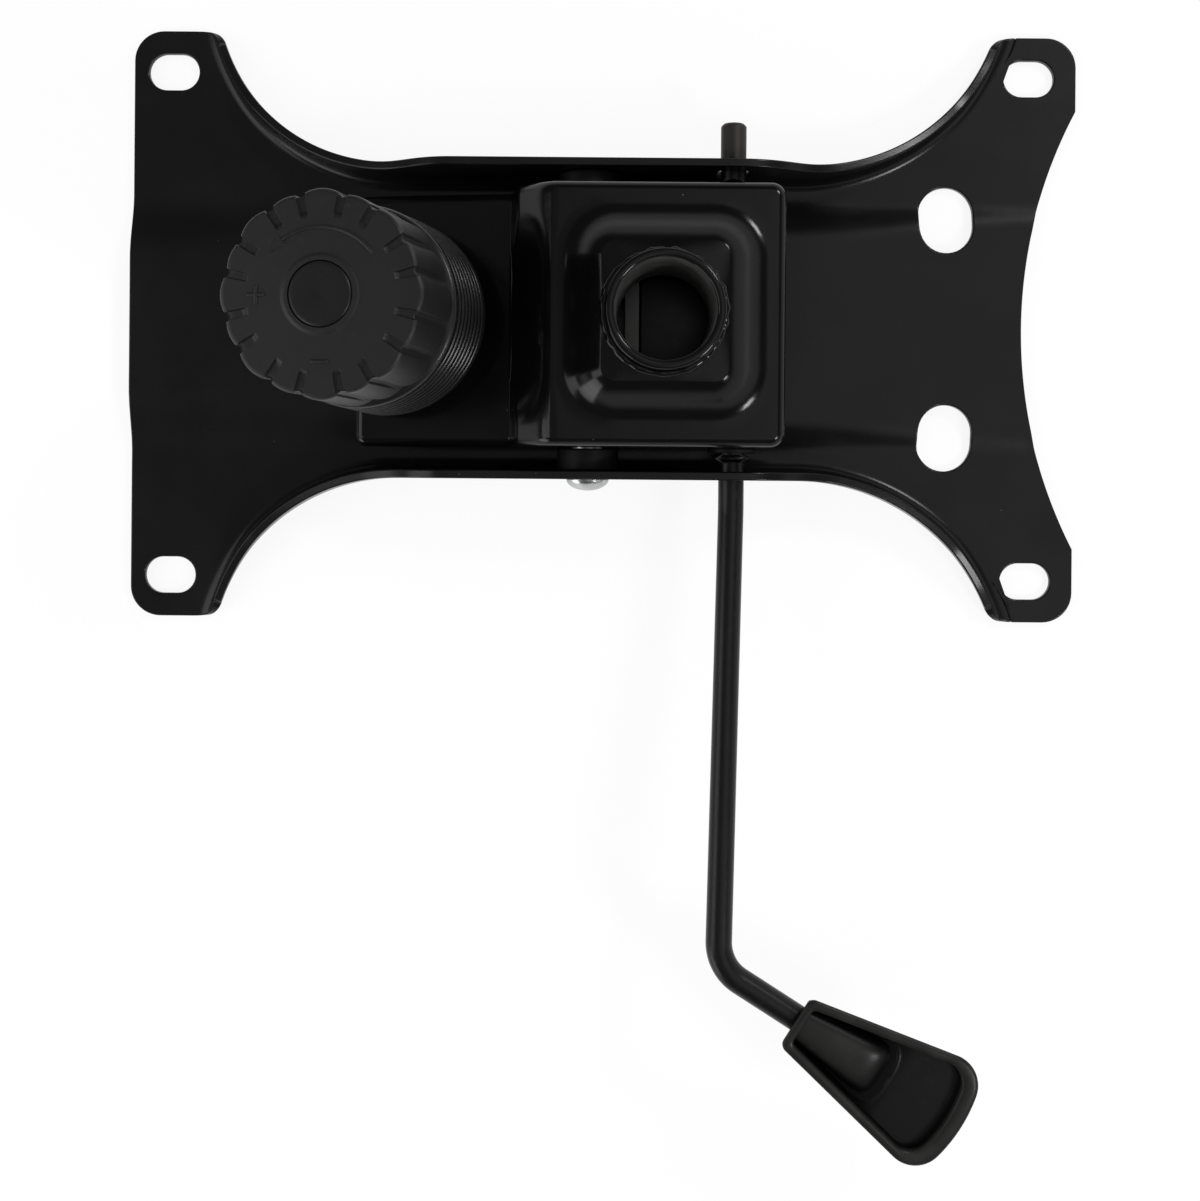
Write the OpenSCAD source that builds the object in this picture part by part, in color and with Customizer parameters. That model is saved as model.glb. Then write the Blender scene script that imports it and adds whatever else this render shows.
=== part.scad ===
// Office chair tilt mechanism, lying on its seat plate as on a bench.
// The origin is the middle of the four seat bolt slots on the face that meets the seat.
// +Z points away from the seat, -X is the front of the chair and the lever leaves towards -Y.

/* [Seat plate] */
// Thickness of the pressed sheet
sheet_t = 2.5; // [2:0.1:3]
// Slot to slot distance along X
slot_gap_x = 259; // [255:0.5:262]
// Slot to slot distance along Y
slot_gap_y = 152.4; // [150:0.2:155]
// Width of each seat bolt slot
slot_w = 11; // [8:0.1:12]
// Length of each seat bolt slot, end to end
slot_len = 15.2; // [13:0.1:17]
// From the front slots' middle to the front edge
front_margin = 12; // [11:0.5:15]
// From the rear slots' middle to the rear edge of the ears
rear_margin = 14.3; // [12:0.1:16]
// From a slot's middle to the outer edge of its ear
ear_margin = 12.4; // [11:0.2:14]
// Corner radius of the ears
ear_r = 9; // [6:0.5:12]
// Half width over the outside of the flanges
waist_half = 46.3; // [46:0.1:47]
// Radius of the front waist arcs
front_arc_r = 57; // [56:0.5:58]
// Middle of the front waist arcs
front_arc_x = -59.7; // [-60:0.1:-59]
// Radius of the rear waist arcs
rear_arc_r = 62.7; // [62:0.1:63]
// Middle of the rear waist arcs
rear_arc_x = 59.3; // [59:0.1:60]
// Radius of the hollow rear edge
rear_hollow_r = 144; // [140:1:150]
// Rear edge of the plate in its middle, at the bottom of the hollow
rear_mid_x = 127.6; // [126:0.2:129]
// Outside bend radius of the flanges
bend_r = 4; // [3.5:0.1:4.5]
// Height of the flanges beside the bracket
flange_h = 30; // [29:0.5:32]
// Rise of the pressed channel
channel_rise = 4; // [3.5:0.1:4.5]
// Half width of the channel's floor
channel_half = 27; // [26:0.5:28]
// Half width of the channel over its slopes
slope_half = 36; // [35:0.2:36]
// Size along X of the two oval holes
oval_x = 16.3; // [14:0.1:17]
// Size along Y of the two oval holes
oval_y = 20; // [19:0.1:21]
// Place along X of the oval holes
oval_at_x = 104.5; // [102:0.5:106]
// Place along Y of the oval holes
oval_at_y = 33; // [32:0.5:34]

/* [Tilt bracket] */
// Half width over the bracket's side walls
bracket_half = 37; // [36.5:0.1:37]
// Height of the box face that carries the socket
box_z = 46; // [45:0.2:46.5]
// Rear edge of the box
box_rear_x = 52.5; // [52:0.1:53]
// Front edge of the box face, at the top of the step
box_front_x = -14.3; // [-16:0.1:-13]
// Foot of the step, where the front floor ends
step_foot_x = -25.4; // [-26:0.1:-25]
// Lean of the front floor and of the knob
floor_lean = 9; // [8:0.1:10]
// Bend radius along the bracket's long edges
edge_r = 3; // [2.8:0.1:3.5]
// Corner radius of the bracket seen from above
corner_r = 3.5; // [3:0.1:5]
// Size of the raised boss along X and Y at its foot
boss_foot = [52, 56.7]; // [50:0.1:58]
// Size of the raised boss along X and Y at its top
boss_top = [36.6, 43.4]; // [36:0.1:44]
// Height of the raised boss's top
boss_z = 55; // [54:0.1:56]
// Corner radius of the raised boss
boss_r = 13; // [12:0.5:14]

/* [Gas lift socket] */
// Place along X of the socket's axis
socket_x = 18.6; // [18:0.1:19]
// Outside radius of the socket
socket_r = 16.6; // [16.2:0.1:16.8]
// Taper bore radius at the mouth
mouth_r = 14; // [13.8:0.05:14.2]
// Taper bore radius at the inner end
throat_r = 13.1; // [12.9:0.05:13.3]
// Height of the mouth
mouth_z = 60; // [59:0.2:61]
// Height of the inner end
throat_z = 24; // [23.5:0.1:25]

/* [Pivot] */
// Place of the tilt axis along X
pivot_x = -3; // [-3.5:0.1:-3]
// Height of the tilt axis
pivot_z = 16; // [15.5:0.1:16.5]
// Radius of the pivot pin
pin_r = 5; // [4.5:0.1:5]
// Radius of the pin's domed head
pin_head_r = 6.25; // [6:0.05:6.5]
// Height of the pin's domed head
pin_head_h = 3.3; // [3:0.1:3.6]
// Outside radius of the pivot bushes
pivot_bush_r = 9; // [8:0.1:9.5]
// Running clearance on a radius
run_gap = 0.06; // [0.03:0.01:0.1]
// Clearance between faces that pass each other
face_gap = 0.3; // [0.3:0.05:0.4]

/* [Knob and spring] */
// Place along X where the bolt's axis meets the front floor
bolt_x = -58.3; // [-58.5:0.1:-58]
// Height of the front floor on that axis
bolt_z = 18; // [17.8:0.1:18.2]
// Radius of the tension bolt
bolt_r = 5; // [4.5:0.1:5]
// Radius of the bolt's ball head
ball_r = 8; // [7.8:0.05:8]
// Distance from the front floor down to the middle of the ball
ball_drop = 14.2; // [14:0.1:14.4]
// Height of the knob's skirt above the front floor
skirt_foot = 12; // [11.8:0.1:13]
// Height of the crease between skirt and grip
crease_t = 42; // [41:0.2:43]
// Height of the knob's face
face_t = 72; // [71:0.2:73]
// Skirt radius at its foot
skirt_foot_r = 28.6; // [28:0.1:29]
// Skirt radius at the crease
skirt_top_r = 27.6; // [27.4:0.1:28]
// Radius over the grip's lobes
lobe_r = 27.2; // [26.8:0.1:27.4]
// Radius of the flatter sections between the lobes
recess_r = 26.1; // [25.6:0.1:26.3]
// Number of lobes
lobes = 8; // [6:1:10]
// Radius of the spring's wire
wire_r = 2.1; // [2:0.05:2.2]
// Radius of the spring's coil, to the middle of the wire
coil_r = 11.1; // [10.9:0.1:11.2]
// Turns of the spring
coil_turns = 4.5; // [4:0.5:4.5]

/* [Lever] */
// Radius of the lever's rod
rod_r = 3.75; // [3.6:0.05:3.8]
// Place of the rod's axis along X
rod_x = 39.1; // [38.8:0.1:39.4]
// Height of the rod's axis
rod_z = 20; // [19.8:0.1:20.2]
// Plain end of the rod, past the left flange
rod_end_y = 58; // [56:0.5:60]
// Lean of the handle in plan, clockwise from +X
handle_lean = 32.4; // [31:0.1:34]
// Middle of the handle's narrow end
handle_at = [56.4, -196.5, 40]; // [-200:0.1:60]
// Half width of the handle at its narrow end
handle_half_near = 8; // [7.5:0.1:8.5]
// Half width of the handle at its far end
handle_half_far = 19.2; // [18.6:0.1:19.8]
// Length of the handle along its middle
handle_len = 55; // [54:0.5:56]
// Thickness of the handle's rim
handle_t = 13; // [12:0.5:13]

/* [Hidden] */
$fn = 64;
far = 300;
sides = [-1, 1];

// Seat plate
plate_front_x = -slot_gap_x / 2 - front_margin;
plate_rear_x = slot_gap_x / 2 + rear_margin;
ear_half_y = slot_gap_y / 2 + ear_margin;
rear_hollow_x = rear_mid_x + rear_hollow_r;
front_arc_y = waist_half + front_arc_r;
rear_arc_y = waist_half + rear_arc_r;
channel_top = channel_rise + sheet_t;
flange_in = waist_half - sheet_t;
flange_tail = 4;
seat_r = ball_r + 1.5;
seat_top = 11;
ball_hole_r = 7;
ball_x = bolt_x + ball_drop * sin(floor_lean);
ball_z = bolt_z - ball_drop * cos(floor_lean);
rod_slot_half = rod_r + 0.75;
rod_slot_low = 12.6;
rib_x = [-120, -98, -62, -50, 48, 64, 100, 122];
rib_z = [6, 11, 20, flange_h, flange_h, 20, 11, 6];

// Tilt bracket
front_edge = 13.9;
pad_x = bolt_x - 10;
pad_y = 18.5;
pad_half = [4.5, 6];
front_rim_z = 9.3;
rear_rim_z = 17;
pivot_rim_z = 6;
bracket_hole_r = 6.2;
rod_hole_r = 6;

// Knob stack, measured along the bolt from the front floor
cup_t = 1.5;
cup_r = 13.3;
cup_rim_r = 8.4;
cup_rim_t = 5;
washer_t = 36;
washer_h = 2.5;
washer_r = 13.8;
ceiling_t = washer_t + washer_h + face_gap;
nut_h = 8.4;
nut_across = 17;
bolt_end_t = 60;
bolt_well_r = 6;
well_t = 66;
cap_t = 70;
cap_r = 8.5;
cap_rise = 0.6;
guide_r = 14.2;
core_r = 16.4;
guide_foot = 22;
shell_in = 25;
grip_in = 22.4;
roof_t = 67.5;
grip_round = 1.2;
notch_w = 2.2;
notch_d = 1.1;
notch_run = 6;
lobe_span = 25;
crease_h = 1;
crease_in = 1.2;
groove_pitch = 3.2;
groove_w = 1.1;
groove_d = 0.6;
grooves = 8;
rib_t = 1.6;
mark_h = 0.5;
mark_r = 17;
mark_len = 5;
mark_w = 1.2;
arrow_half = 2.2;
arrow_len = 4;

// Lever
bush_flange_t = 1.3;
bush_flange_r = 7;
ear_len = 2.6;
rod_rise_y = -55;
corner_run = 25;
tab_x = 7.5;
tab_half_y = 12.5;
tab_z = 15.5;
tab_t = 3;
rod_corner = handle_at - corner_run * [cos(handle_lean), -sin(handle_lean), 0];
rod_grip = handle_at + 26 * [cos(handle_lean), -sin(handle_lean), 0];
rod_foot = [rod_x, rod_rise_y, rod_z];
handle_wall = 3;
handle_arc_r = 45;
handle_corner_r = 9;
handle_arc_x = handle_len - handle_arc_r;
flare = (handle_half_far - handle_half_near) / handle_len;
flare_w = norm([1, flare]);
// The middle of a far corner's arc touches both the flaring side and the far edge
corner_low = handle_half_near - handle_corner_r * flare_w;
corner_b = (flare * corner_low - handle_arc_x) / (flare_w * flare_w);
corner_reach = handle_arc_r - handle_corner_r;
corner_c = (pow(handle_arc_x, 2) + pow(corner_low, 2) - pow(corner_reach, 2)) / (flare_w * flare_w);
corner_x = -corner_b + sqrt(corner_b * corner_b - corner_c);
corner_y = corner_low + flare * corner_x;
corner_top = corner_y * handle_arc_r / corner_reach;
rod_boss_near_r = 5.7;
rod_boss_far_r = 6.3;
rod_boss_len = 28;
bend_lap = 0.4;
bend_r_less = 0.03;

// Spring, as points along its wire
spring_low = cup_t + face_gap + wire_r;
spring_high = washer_t - face_gap - wire_r;
spring_rings = 8 * coil_turns;
spring_sides = 6;

function unit(v) = v / norm(v);

// A point on the spring's wire, ring i of spring_rings
function coil_point(i) = let (a = 45 * i, f = i / spring_rings)
    [coil_r * cos(a), coil_r * sin(a), spring_low + f * (spring_high - spring_low)];

// A point on the wire's skin, corner j of ring i
function skin_point(i, j) = let (a = 45 * i, b = 360 * j / spring_sides, p = coil_point(i))
    p + wire_r * [cos(b) * cos(a), cos(b) * sin(a), sin(b)];

// Places a child at the front floor with its Z along the bolt
module along_bolt() {
    translate([bolt_x, 0, bolt_z]) rotate([0, -floor_lean, 0]) children();
}

// Turns a child's Z to +Y at a place on the side of the mechanism
module across(x, y, z) {
    translate([x, y, z]) rotate([-90, 0, 0]) children();
}

// A flat rectangle with round corners, made of exact arcs
module round_rect(low, high, r) {
    translate([low.x + r, low.y]) square([high.x - low.x - 2 * r, high.y - low.y]);
    translate([low.x, low.y + r]) square([high.x - low.x, high.y - low.y - 2 * r]);
    for (x = [low.x + r, high.x - r], y = [low.y + r, high.y - r]) translate([x, y]) circle(r = r);
}

// A long hole with round ends, along X when its first size is the larger
module long_hole(size) {
    r = min(size) / 2;
    run = [for (s = size) s / 2 - r];
    for (s = sides) translate([s * run.x, s * run.y]) circle(r = r);
    square([max(2 * run.x, 2 * r * sign(run.y)), max(2 * run.y, 2 * r * sign(run.x))], center = true);
}

// The room outside one flange, seen from above
module waist_room(grow) {
    translate([front_arc_x, front_arc_y]) circle(r = front_arc_r + grow, $fn = 128);
    translate([rear_arc_x, rear_arc_y]) circle(r = rear_arc_r + grow, $fn = 128);
    translate([front_arc_x, waist_half - grow]) square([rear_arc_x - front_arc_x, 100]);
}

module plate_outline() {
    difference() {
        round_rect([plate_front_x, -ear_half_y], [plate_rear_x, ear_half_y], ear_r);
        for (s = sides) scale([1, s]) waist_room(bend_r + flange_tail / 2);
        translate([rear_hollow_x, 0]) circle(r = rear_hollow_r, $fn = 256);
    }
}

// The sheet across the plate: flat ears, two slopes and the raised channel
module channel_section() {
    low = [[-far, 0], [-slope_half, 0], [-channel_half, channel_rise],
           [channel_half, channel_rise], [slope_half, 0], [far, 0]];
    high = [for (i = [len(low) - 1:-1:0]) low[i] + [0, sheet_t]];
    polygon(concat(low, high));
}

// The turned flange across its wall, with its bend and a tail into the flat
module flange_section() {
    translate([0, bend_r]) square([sheet_t, flange_h]);
    intersection() {
        difference() {
            translate([bend_r, bend_r]) circle(r = bend_r);
            translate([bend_r, bend_r]) circle(r = bend_r - sheet_t);
        }
        square(bend_r);
    }
    translate([bend_r, 0]) square([flange_tail, sheet_t]);
}

module flange() {
    translate([front_arc_x, front_arc_y, 0]) scale([-1, 1, 1]) rotate([0, 0, 270])
        rotate_extrude(angle = 80, $fn = 128) translate([front_arc_r, 0]) flange_section();
    translate([rear_arc_x, waist_half, 0]) rotate([0, 0, -90]) rotate([90, 0, 0])
        linear_extrude(rear_arc_x - front_arc_x) flange_section();
    translate([rear_arc_x, rear_arc_y, 0]) rotate([0, 0, 270])
        rotate_extrude(angle = 76, $fn = 128) translate([rear_arc_r, 0]) flange_section();
}

// Both flanges, trimmed to their rising and falling edge
module flanges() {
    edge = [for (i = [0:len(rib_x) - 1]) [rib_x[i], rib_z[i]]];
    intersection() {
        for (s = sides) scale([1, s, 1]) flange();
        rotate([90, 0, 0]) linear_extrude(2 * ear_half_y, center = true)
            polygon(concat([[rib_x[0], -1]], edge, [[rib_x[len(rib_x) - 1], -1]]));
    }
}

module seat_plate() {
    color("#1c1c1e") difference() {
        union() {
            intersection() {
                rotate([90, 0, 90]) linear_extrude(2 * far, center = true) channel_section();
                translate([0, 0, -1]) linear_extrude(far) plate_outline();
            }
            flanges();
            translate([ball_x, 0, channel_rise])
                cylinder(r = seat_r + sheet_t, h = seat_top - channel_rise);
        }
        for (x = sides, y = sides) translate([x * slot_gap_x / 2, y * slot_gap_y / 2, -1])
            linear_extrude(5) long_hole([slot_len, slot_w]);
        for (s = sides) translate([oval_at_x, s * oval_at_y, -1])
            linear_extrude(10) long_hole([oval_x, oval_y]);
        across(pivot_x, -far, pivot_z) cylinder(r = pin_r + run_gap, h = 2 * far);
        across(rod_x, -far, (rod_slot_low + rod_z) / 2) linear_extrude(2 * far)
            long_hole([2 * rod_slot_half, rod_z - rod_slot_low + 2 * rod_slot_half]);
        translate([ball_x, 0, -1]) cylinder(r = seat_r, h = 1 + seat_top - sheet_t);
        translate([ball_x, 0, 0]) cylinder(r = ball_hole_r, h = far);
    }
}

module pivot_pin() {
    ball = (pin_head_r * pin_head_r + pin_head_h * pin_head_h) / (2 * pin_head_h);
    color("#c9cac6") {
        across(pivot_x, -waist_half, pivot_z) cylinder(r = pin_r, h = 2 * waist_half + 1.4);
        across(pivot_x, -waist_half, pivot_z) intersection() {
            translate([0, 0, ball - pin_head_h]) sphere(r = ball);
            translate([0, 0, -pin_head_h]) cylinder(r = pin_head_r, h = pin_head_h);
        }
    }
}

module pivot_retainer() {
    color("#8d8f8e") across(pivot_x, waist_half, pivot_z) difference() {
        cylinder(r = 7.5, h = 1.2);
        translate([0, 0, -1]) cylinder(r = pin_r + run_gap, h = 4);
    }
}

module pivot_bush(side) {
    len = flange_in - bracket_half - face_gap;
    y = side > 0 ? flange_in - len : -flange_in;
    color("#77797a") across(pivot_x, y, pivot_z) difference() {
        cylinder(r = pivot_bush_r, h = len);
        translate([0, 0, -1]) cylinder(r = pin_r + run_gap, h = len + 2);
    }
}

module pivot_bush_left() { pivot_bush(1); }

module pivot_bush_right() { pivot_bush(-1); }

module stop_pad(side) {
    color("#151515") translate([pad_x, side * pad_y, channel_top])
        linear_extrude(front_rim_z - channel_top - face_gap) round_rect(-pad_half, pad_half, 2);
}

module stop_pad_left() { stop_pad(1); }

module stop_pad_right() { stop_pad(-1); }

// A wall section with round shoulders, top at z = 0
module shoulder_section(half, r) {
    translate([-half, -far]) square([2 * half, far - r]);
    translate([-half + r, -r]) square([2 * (half - r), r]);
    for (s = sides) translate([s * (half - r), -r]) circle(r = r);
}

// The bracket's outer form at in = 0, and the hollow under its sheet at in = sheet_t
module bracket_form(in) {
    half = bracket_half - in;
    step_run = [box_front_x - step_foot_x, box_z - floor_height(step_foot_x)];
    slip = in * unit([step_run.y, -step_run.x]);
    foot = [step_foot_x, floor_height(step_foot_x)] + slip - 0.6 * step_run;
    shelf = foot + (box_z - in - foot.y) / step_run.y * step_run;
    intersection() {
        union() {
            along_bolt() translate([-front_edge + in, 0, -in]) rotate([90, 0, 90])
                linear_extrude(60) shoulder_section(half, edge_r - in);
            intersection() {
                translate([0, 0, box_z - in]) rotate([90, 0, 90])
                    linear_extrude(2 * far, center = true) shoulder_section(half, edge_r - in);
                rotate([90, 0, 0]) linear_extrude(2 * far, center = true)
                    polygon([foot, shelf, [box_rear_x - in, box_z - in], [box_rear_x - in, -far],
                             [foot.x, -far]]);
            }
            boss_form(in);
        }
        translate([0, 0, -far / 2]) linear_extrude(far)
            round_rect([-80, -half], [box_rear_x - in, half], corner_r - in);
    }
}

// Height of the front floor's outer face at a place along X
function floor_height(x) = bolt_z + (x - bolt_x) * tan(floor_lean);

// The raised boss: two crossing wedges inside a rounded post
module boss_form(in) {
    foot = (boss_foot - 2 * [in, in]) / 2;
    top = (boss_top - 2 * [in, in]) / 2;
    translate([socket_x, 0, -in]) intersection() {
        rotate([90, 0, 0]) linear_extrude(far, center = true) boss_wedge(foot.x, top.x);
        rotate([90, 0, 90]) linear_extrude(far, center = true) boss_wedge(foot.y, top.y);
        linear_extrude(far) round_rect(-foot, foot, boss_r - in);
    }
}

module boss_wedge(foot, top) {
    polygon([[-foot, box_z - 10], [-foot, box_z], [-top, boss_z],
             [top, boss_z], [foot, box_z], [foot, box_z - 10]]);
}

// The side of the room below the bracket's rim
module rim_room() {
    polygon([[-far, -far], [-far, front_rim_z], [-62, front_rim_z], [-16, pivot_rim_z], [6, pivot_rim_z],
             [30, 12.5], [46, rear_rim_z], [far, rear_rim_z], [far, -far]]);
}

module tilt_bracket() {
    color("#0f0f10") difference() {
        bracket_form(0);
        bracket_form(sheet_t);
        rotate([90, 0, 0]) linear_extrude(2 * far, center = true) rim_room();
        across(pivot_x, -far, pivot_z) cylinder(r = pin_r + run_gap, h = 2 * far);
        across(rod_x, -far, rod_z) cylinder(r = rod_hole_r, h = 2 * far);
        translate([socket_x, 0, 40]) cylinder(r = socket_r + 0.02, h = far);
        along_bolt() translate([0, 0, -8]) cylinder(r = bracket_hole_r, h = 16);
    }
}

module gas_lift_socket() {
    color("#141415") translate([socket_x, 0, 0]) difference() {
        union() {
            translate([0, 0, throat_z]) cylinder(r = socket_r, h = mouth_z - throat_z);
            translate([0, 0, boss_z]) cylinder(r1 = socket_r + 1.8, r2 = socket_r, h = 2.4);
        }
        rotate_extrude() polygon([[0, throat_z - 1], [throat_r - 0.025, throat_z - 1],
                                  [mouth_r + 0.025, mouth_z + 1], [0, mouth_z + 1]]);
    }
}

module rod_bush(side) {
    color("#2a2a2c") scale([1, side, 1]) difference() {
        union() {
            across(rod_x, bracket_half - sheet_t - 1, rod_z) cylinder(r = rod_hole_r - 0.02, h = sheet_t + 1);
            across(rod_x, bracket_half, rod_z) cylinder(r = bush_flange_r, h = bush_flange_t);
        }
        across(rod_x, 0, rod_z) cylinder(r = rod_r + run_gap, h = far);
    }
}

module rod_bush_left() { rod_bush(1); }

module rod_bush_right() { rod_bush(-1); }

module spring_cup() {
    color("#a9aaa6") along_bolt() difference() {
        union() {
            cylinder(r = cup_r, h = cup_t);
            cylinder(r = cup_rim_r, h = cup_rim_t);
        }
        translate([0, 0, -1]) cylinder(r = bracket_hole_r, h = 10);
    }
}

module tension_spring() {
    last = spring_rings;
    points = [for (i = [0:last], j = [0:spring_sides - 1]) skin_point(i, j)];
    skin = [for (i = [0:last - 1], j = [0:spring_sides - 1])
        let (a = i * spring_sides + j, b = i * spring_sides + (j + 1) % spring_sides)
        each [[a, b, b + spring_sides], [a, b + spring_sides, a + spring_sides]]];
    ends = [for (j = [1:spring_sides - 2], e = [0, last]) let (o = e * spring_sides)
        e == 0 ? [o, o + j + 1, o + j] : [o, o + j, o + j + 1]];
    color("#8f9190") along_bolt() polyhedron(points, concat(skin, ends));
}

// The least distance between the skins of neighbouring turns, on the wire's own points
spring_gap = min([for (i = [0:spring_rings - 8]) norm(coil_point(i + 8) - coil_point(i))]) - 2 * wire_r;
echo(spring_gap = spring_gap);

module tension_bolt() {
    color("#9c9d99") along_bolt() {
        translate([0, 0, -ball_drop]) cylinder(r = bolt_r, h = bolt_end_t + ball_drop);
        translate([0, 0, -ball_drop]) intersection() {
            sphere(r = ball_r);
            translate([0, 0, -2]) cylinder(r = ball_r + 1, h = ball_r + 4);
        }
    }
}

module thrust_washer() {
    color("#a9aaa6") along_bolt() translate([0, 0, washer_t]) difference() {
        cylinder(r = washer_r, h = washer_h);
        translate([0, 0, -1]) cylinder(r = bolt_r + run_gap, h = washer_h + 2);
    }
}

// The grip seen from its face: a round body, lobes that stand proud and a notch at each lobe's edges
module grip_outline() {
    difference() {
        union() {
            circle(r = recess_r, $fn = 128);
            for (i = [0:lobes - 1]) rotate(360 * i / lobes) intersection() {
                circle(r = lobe_r, $fn = 128);
                polygon([[0, 0], far * [cos(lobe_span / 2), sin(-lobe_span / 2)], [far, 0],
                         far * [cos(lobe_span / 2), sin(lobe_span / 2)]]);
            }
        }
        for (i = [0:lobes - 1], s = sides) rotate(360 * i / lobes + s * lobe_span / 2)
            translate([recess_r - notch_d, -notch_w / 2]) square([far, notch_w]);
    }
}

// The knob's outside when turned round its axis: ribbed skirt, crease and grip with a round edge
module knob_section() {
    polygon([[0, skirt_foot], [skirt_foot_r, skirt_foot], [skirt_top_r, crease_t - crease_h],
             [skirt_top_r - crease_in, crease_t], [0, crease_t]]);
}

module grip_section() {
    translate([0, crease_t - crease_h]) square([skirt_top_r - crease_in - 0.2, 2 * crease_h]);
    translate([0, crease_t]) square([lobe_r + 1, face_t - crease_t - grip_round]);
    translate([0, face_t - grip_round]) square([lobe_r - grip_round, grip_round]);
    translate([lobe_r - grip_round, face_t - grip_round]) circle(r = grip_round);
}

// The room inside the knob: skirt, ring between shell and core, and the spring's guide
module knob_room() {
    polygon([[0, skirt_foot - 1], [shell_in, skirt_foot - 1], [shell_in, crease_t - 2],
             [grip_in, crease_t + 1], [grip_in, roof_t], [core_r, roof_t], [core_r, guide_foot],
             [guide_r, guide_foot], [guide_r, ceiling_t], [0, ceiling_t]]);
}

// One shallow ring cut round the skirt
module skirt_groove(i) {
    t = skirt_foot + (i + 1) * groove_pitch;
    r = skirt_foot_r + (skirt_top_r - skirt_foot_r) * (t - skirt_foot) / (crease_t - skirt_foot);
    translate([0, 0, t]) difference() {
        cylinder(r = skirt_foot_r + 2, h = groove_w);
        translate([0, 0, -1]) cylinder(r = r - groove_d, h = groove_w + 2);
    }
}

// Plain raised marks on the face: a curved arrow between a plus and a minus
module knob_marks() {
    rotate([0, 0, 35]) rotate_extrude(angle = 95)
        translate([mark_r - mark_w / 2, 0]) square([mark_w, mark_h]);
    rotate([0, 0, 130]) translate([mark_r, 0, 0]) linear_extrude(mark_h)
        polygon([[-arrow_half, 0], [arrow_half, 0], [0, arrow_len]]);
    translate([0, -mark_r, mark_h / 2]) cube([mark_len, mark_w, mark_h], center = true);
    rotate([0, 0, 180]) translate([mark_r, 0, mark_h / 2]) {
        cube([mark_len, mark_w, mark_h], center = true);
        cube([mark_w, mark_len, mark_h], center = true);
    }
}

module tension_knob() {
    color("#1e1e20") along_bolt() {
        difference() {
            union() {
                rotate_extrude($fn = 128) knob_section();
                intersection() {
                    linear_extrude(far) grip_outline();
                    rotate_extrude($fn = 128) grip_section();
                }
            }
            difference() {
                rotate_extrude($fn = 128) knob_room();
                for (i = [0:lobes - 1]) rotate([0, 0, 360 * i / lobes + 22.5])
                    translate([core_r - 1, -rib_t / 2, guide_foot + 3])
                        cube([shell_in - core_r + 3, rib_t, far]);
            }
            for (i = [0:grooves - 1]) skirt_groove(i);
            for (i = [0:lobes - 1], s = sides) rotate([0, 0, 360 * i / lobes + s * lobe_span / 2])
                translate([lobe_r - notch_run, -notch_w / 2, face_t - notch_d]) cube([far, notch_w, far]);
            translate([0, 0, ceiling_t - 1]) cylinder(r = nut_across / sqrt(3), h = nut_h + 1, $fn = 6);
            translate([0, 0, ceiling_t]) cylinder(r = bolt_well_r, h = far);
            translate([0, 0, cap_t]) cylinder(r = cap_r + 0.1, h = far);
        }
        translate([0, 0, face_t]) knob_marks();
    }
}

module knob_nut() {
    color("#a9aaa6") along_bolt() translate([0, 0, ceiling_t]) difference() {
        cylinder(r = nut_across / sqrt(3) - 0.03, h = nut_h, $fn = 6);
        translate([0, 0, -1]) cylinder(r = bolt_r + run_gap, h = nut_h + 2);
    }
}

module knob_cap() {
    color("#232325") along_bolt() {
        translate([0, 0, cap_t]) cylinder(r = cap_r, h = face_t + cap_rise - cap_t);
        translate([0, 0, well_t]) cylinder(r = bolt_well_r - 0.05, h = cap_t - well_t);
    }
}

// A straight length of the lever's rod
module rod_run(from, to) {
    d = unit(to - from);
    multmatrix(frame_from(from, d)) cylinder(r = rod_r, h = norm(to - from));
}

// A bend of the lever's rod where direction a turns into direction b at a corner.
// It is a hair thinner than the straight lengths, which reach a little way over its ends.
module rod_bend(corner, a, b, r) {
    turn = acos(a * b);
    start = corner - a * r * tan(turn / 2);
    in = unit(b - a * (a * b));
    middle = start + in * r;
    up = cross(-in, a);
    multmatrix([[-in.x, a.x, up.x, middle.x], [-in.y, a.y, up.y, middle.y], [-in.z, a.z, up.z, middle.z],
                [0, 0, 0, 1]])
        rotate_extrude(angle = turn) translate([r, 0]) circle(r = rod_r - bend_r_less);
}

// A frame at p whose Z is d
function frame_from(p, d) = let (x = unit(cross([0, 0, 1], d)), y = cross(d, x))
    [[x.x, y.x, d.x, p.x], [x.y, y.y, d.y, p.y], [x.z, y.z, d.z, p.z], [0, 0, 0, 1]];

module lever_rod() {
    a = [0, -1, 0];
    b = unit(rod_corner - rod_foot);
    c = unit(rod_grip - rod_corner);
    bends = [30, 12.5];
    cut_a = bends[0] * tan(acos(a * b) / 2) - bend_lap;
    cut_b = bends[1] * tan(acos(b * c) / 2) - bend_lap;
    color("#5d5a57") {
        rod_run([rod_x, rod_end_y - 1, rod_z], rod_foot - a * cut_a);
        across(rod_x, rod_end_y - 1, rod_z) cylinder(r1 = rod_r, r2 = rod_r - 0.8, h = 1);
        rod_bend(rod_foot, a, b, bends[0]);
        rod_run(rod_foot + b * cut_a, rod_corner - b * cut_b);
        rod_bend(rod_corner, b, c, bends[1]);
        rod_run(rod_corner + c * cut_b, rod_grip);
        for (s = sides) scale([1, s, 1])
            translate([rod_x - rod_r - 1.8, bracket_half + bush_flange_t + face_gap, rod_z - 1.5])
                cube([2 * rod_r + 3.6, ear_len, 3]);
    }
}

module valve_tab() {
    color("#4b4b4d") difference() {
        translate([0, 0, tab_z]) linear_extrude(tab_t)
            round_rect([tab_x, -tab_half_y], [rod_x - 1, tab_half_y], 2);
        across(rod_x, -far, rod_z) cylinder(r = rod_r + 0.01, h = 2 * far);
    }
}

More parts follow.
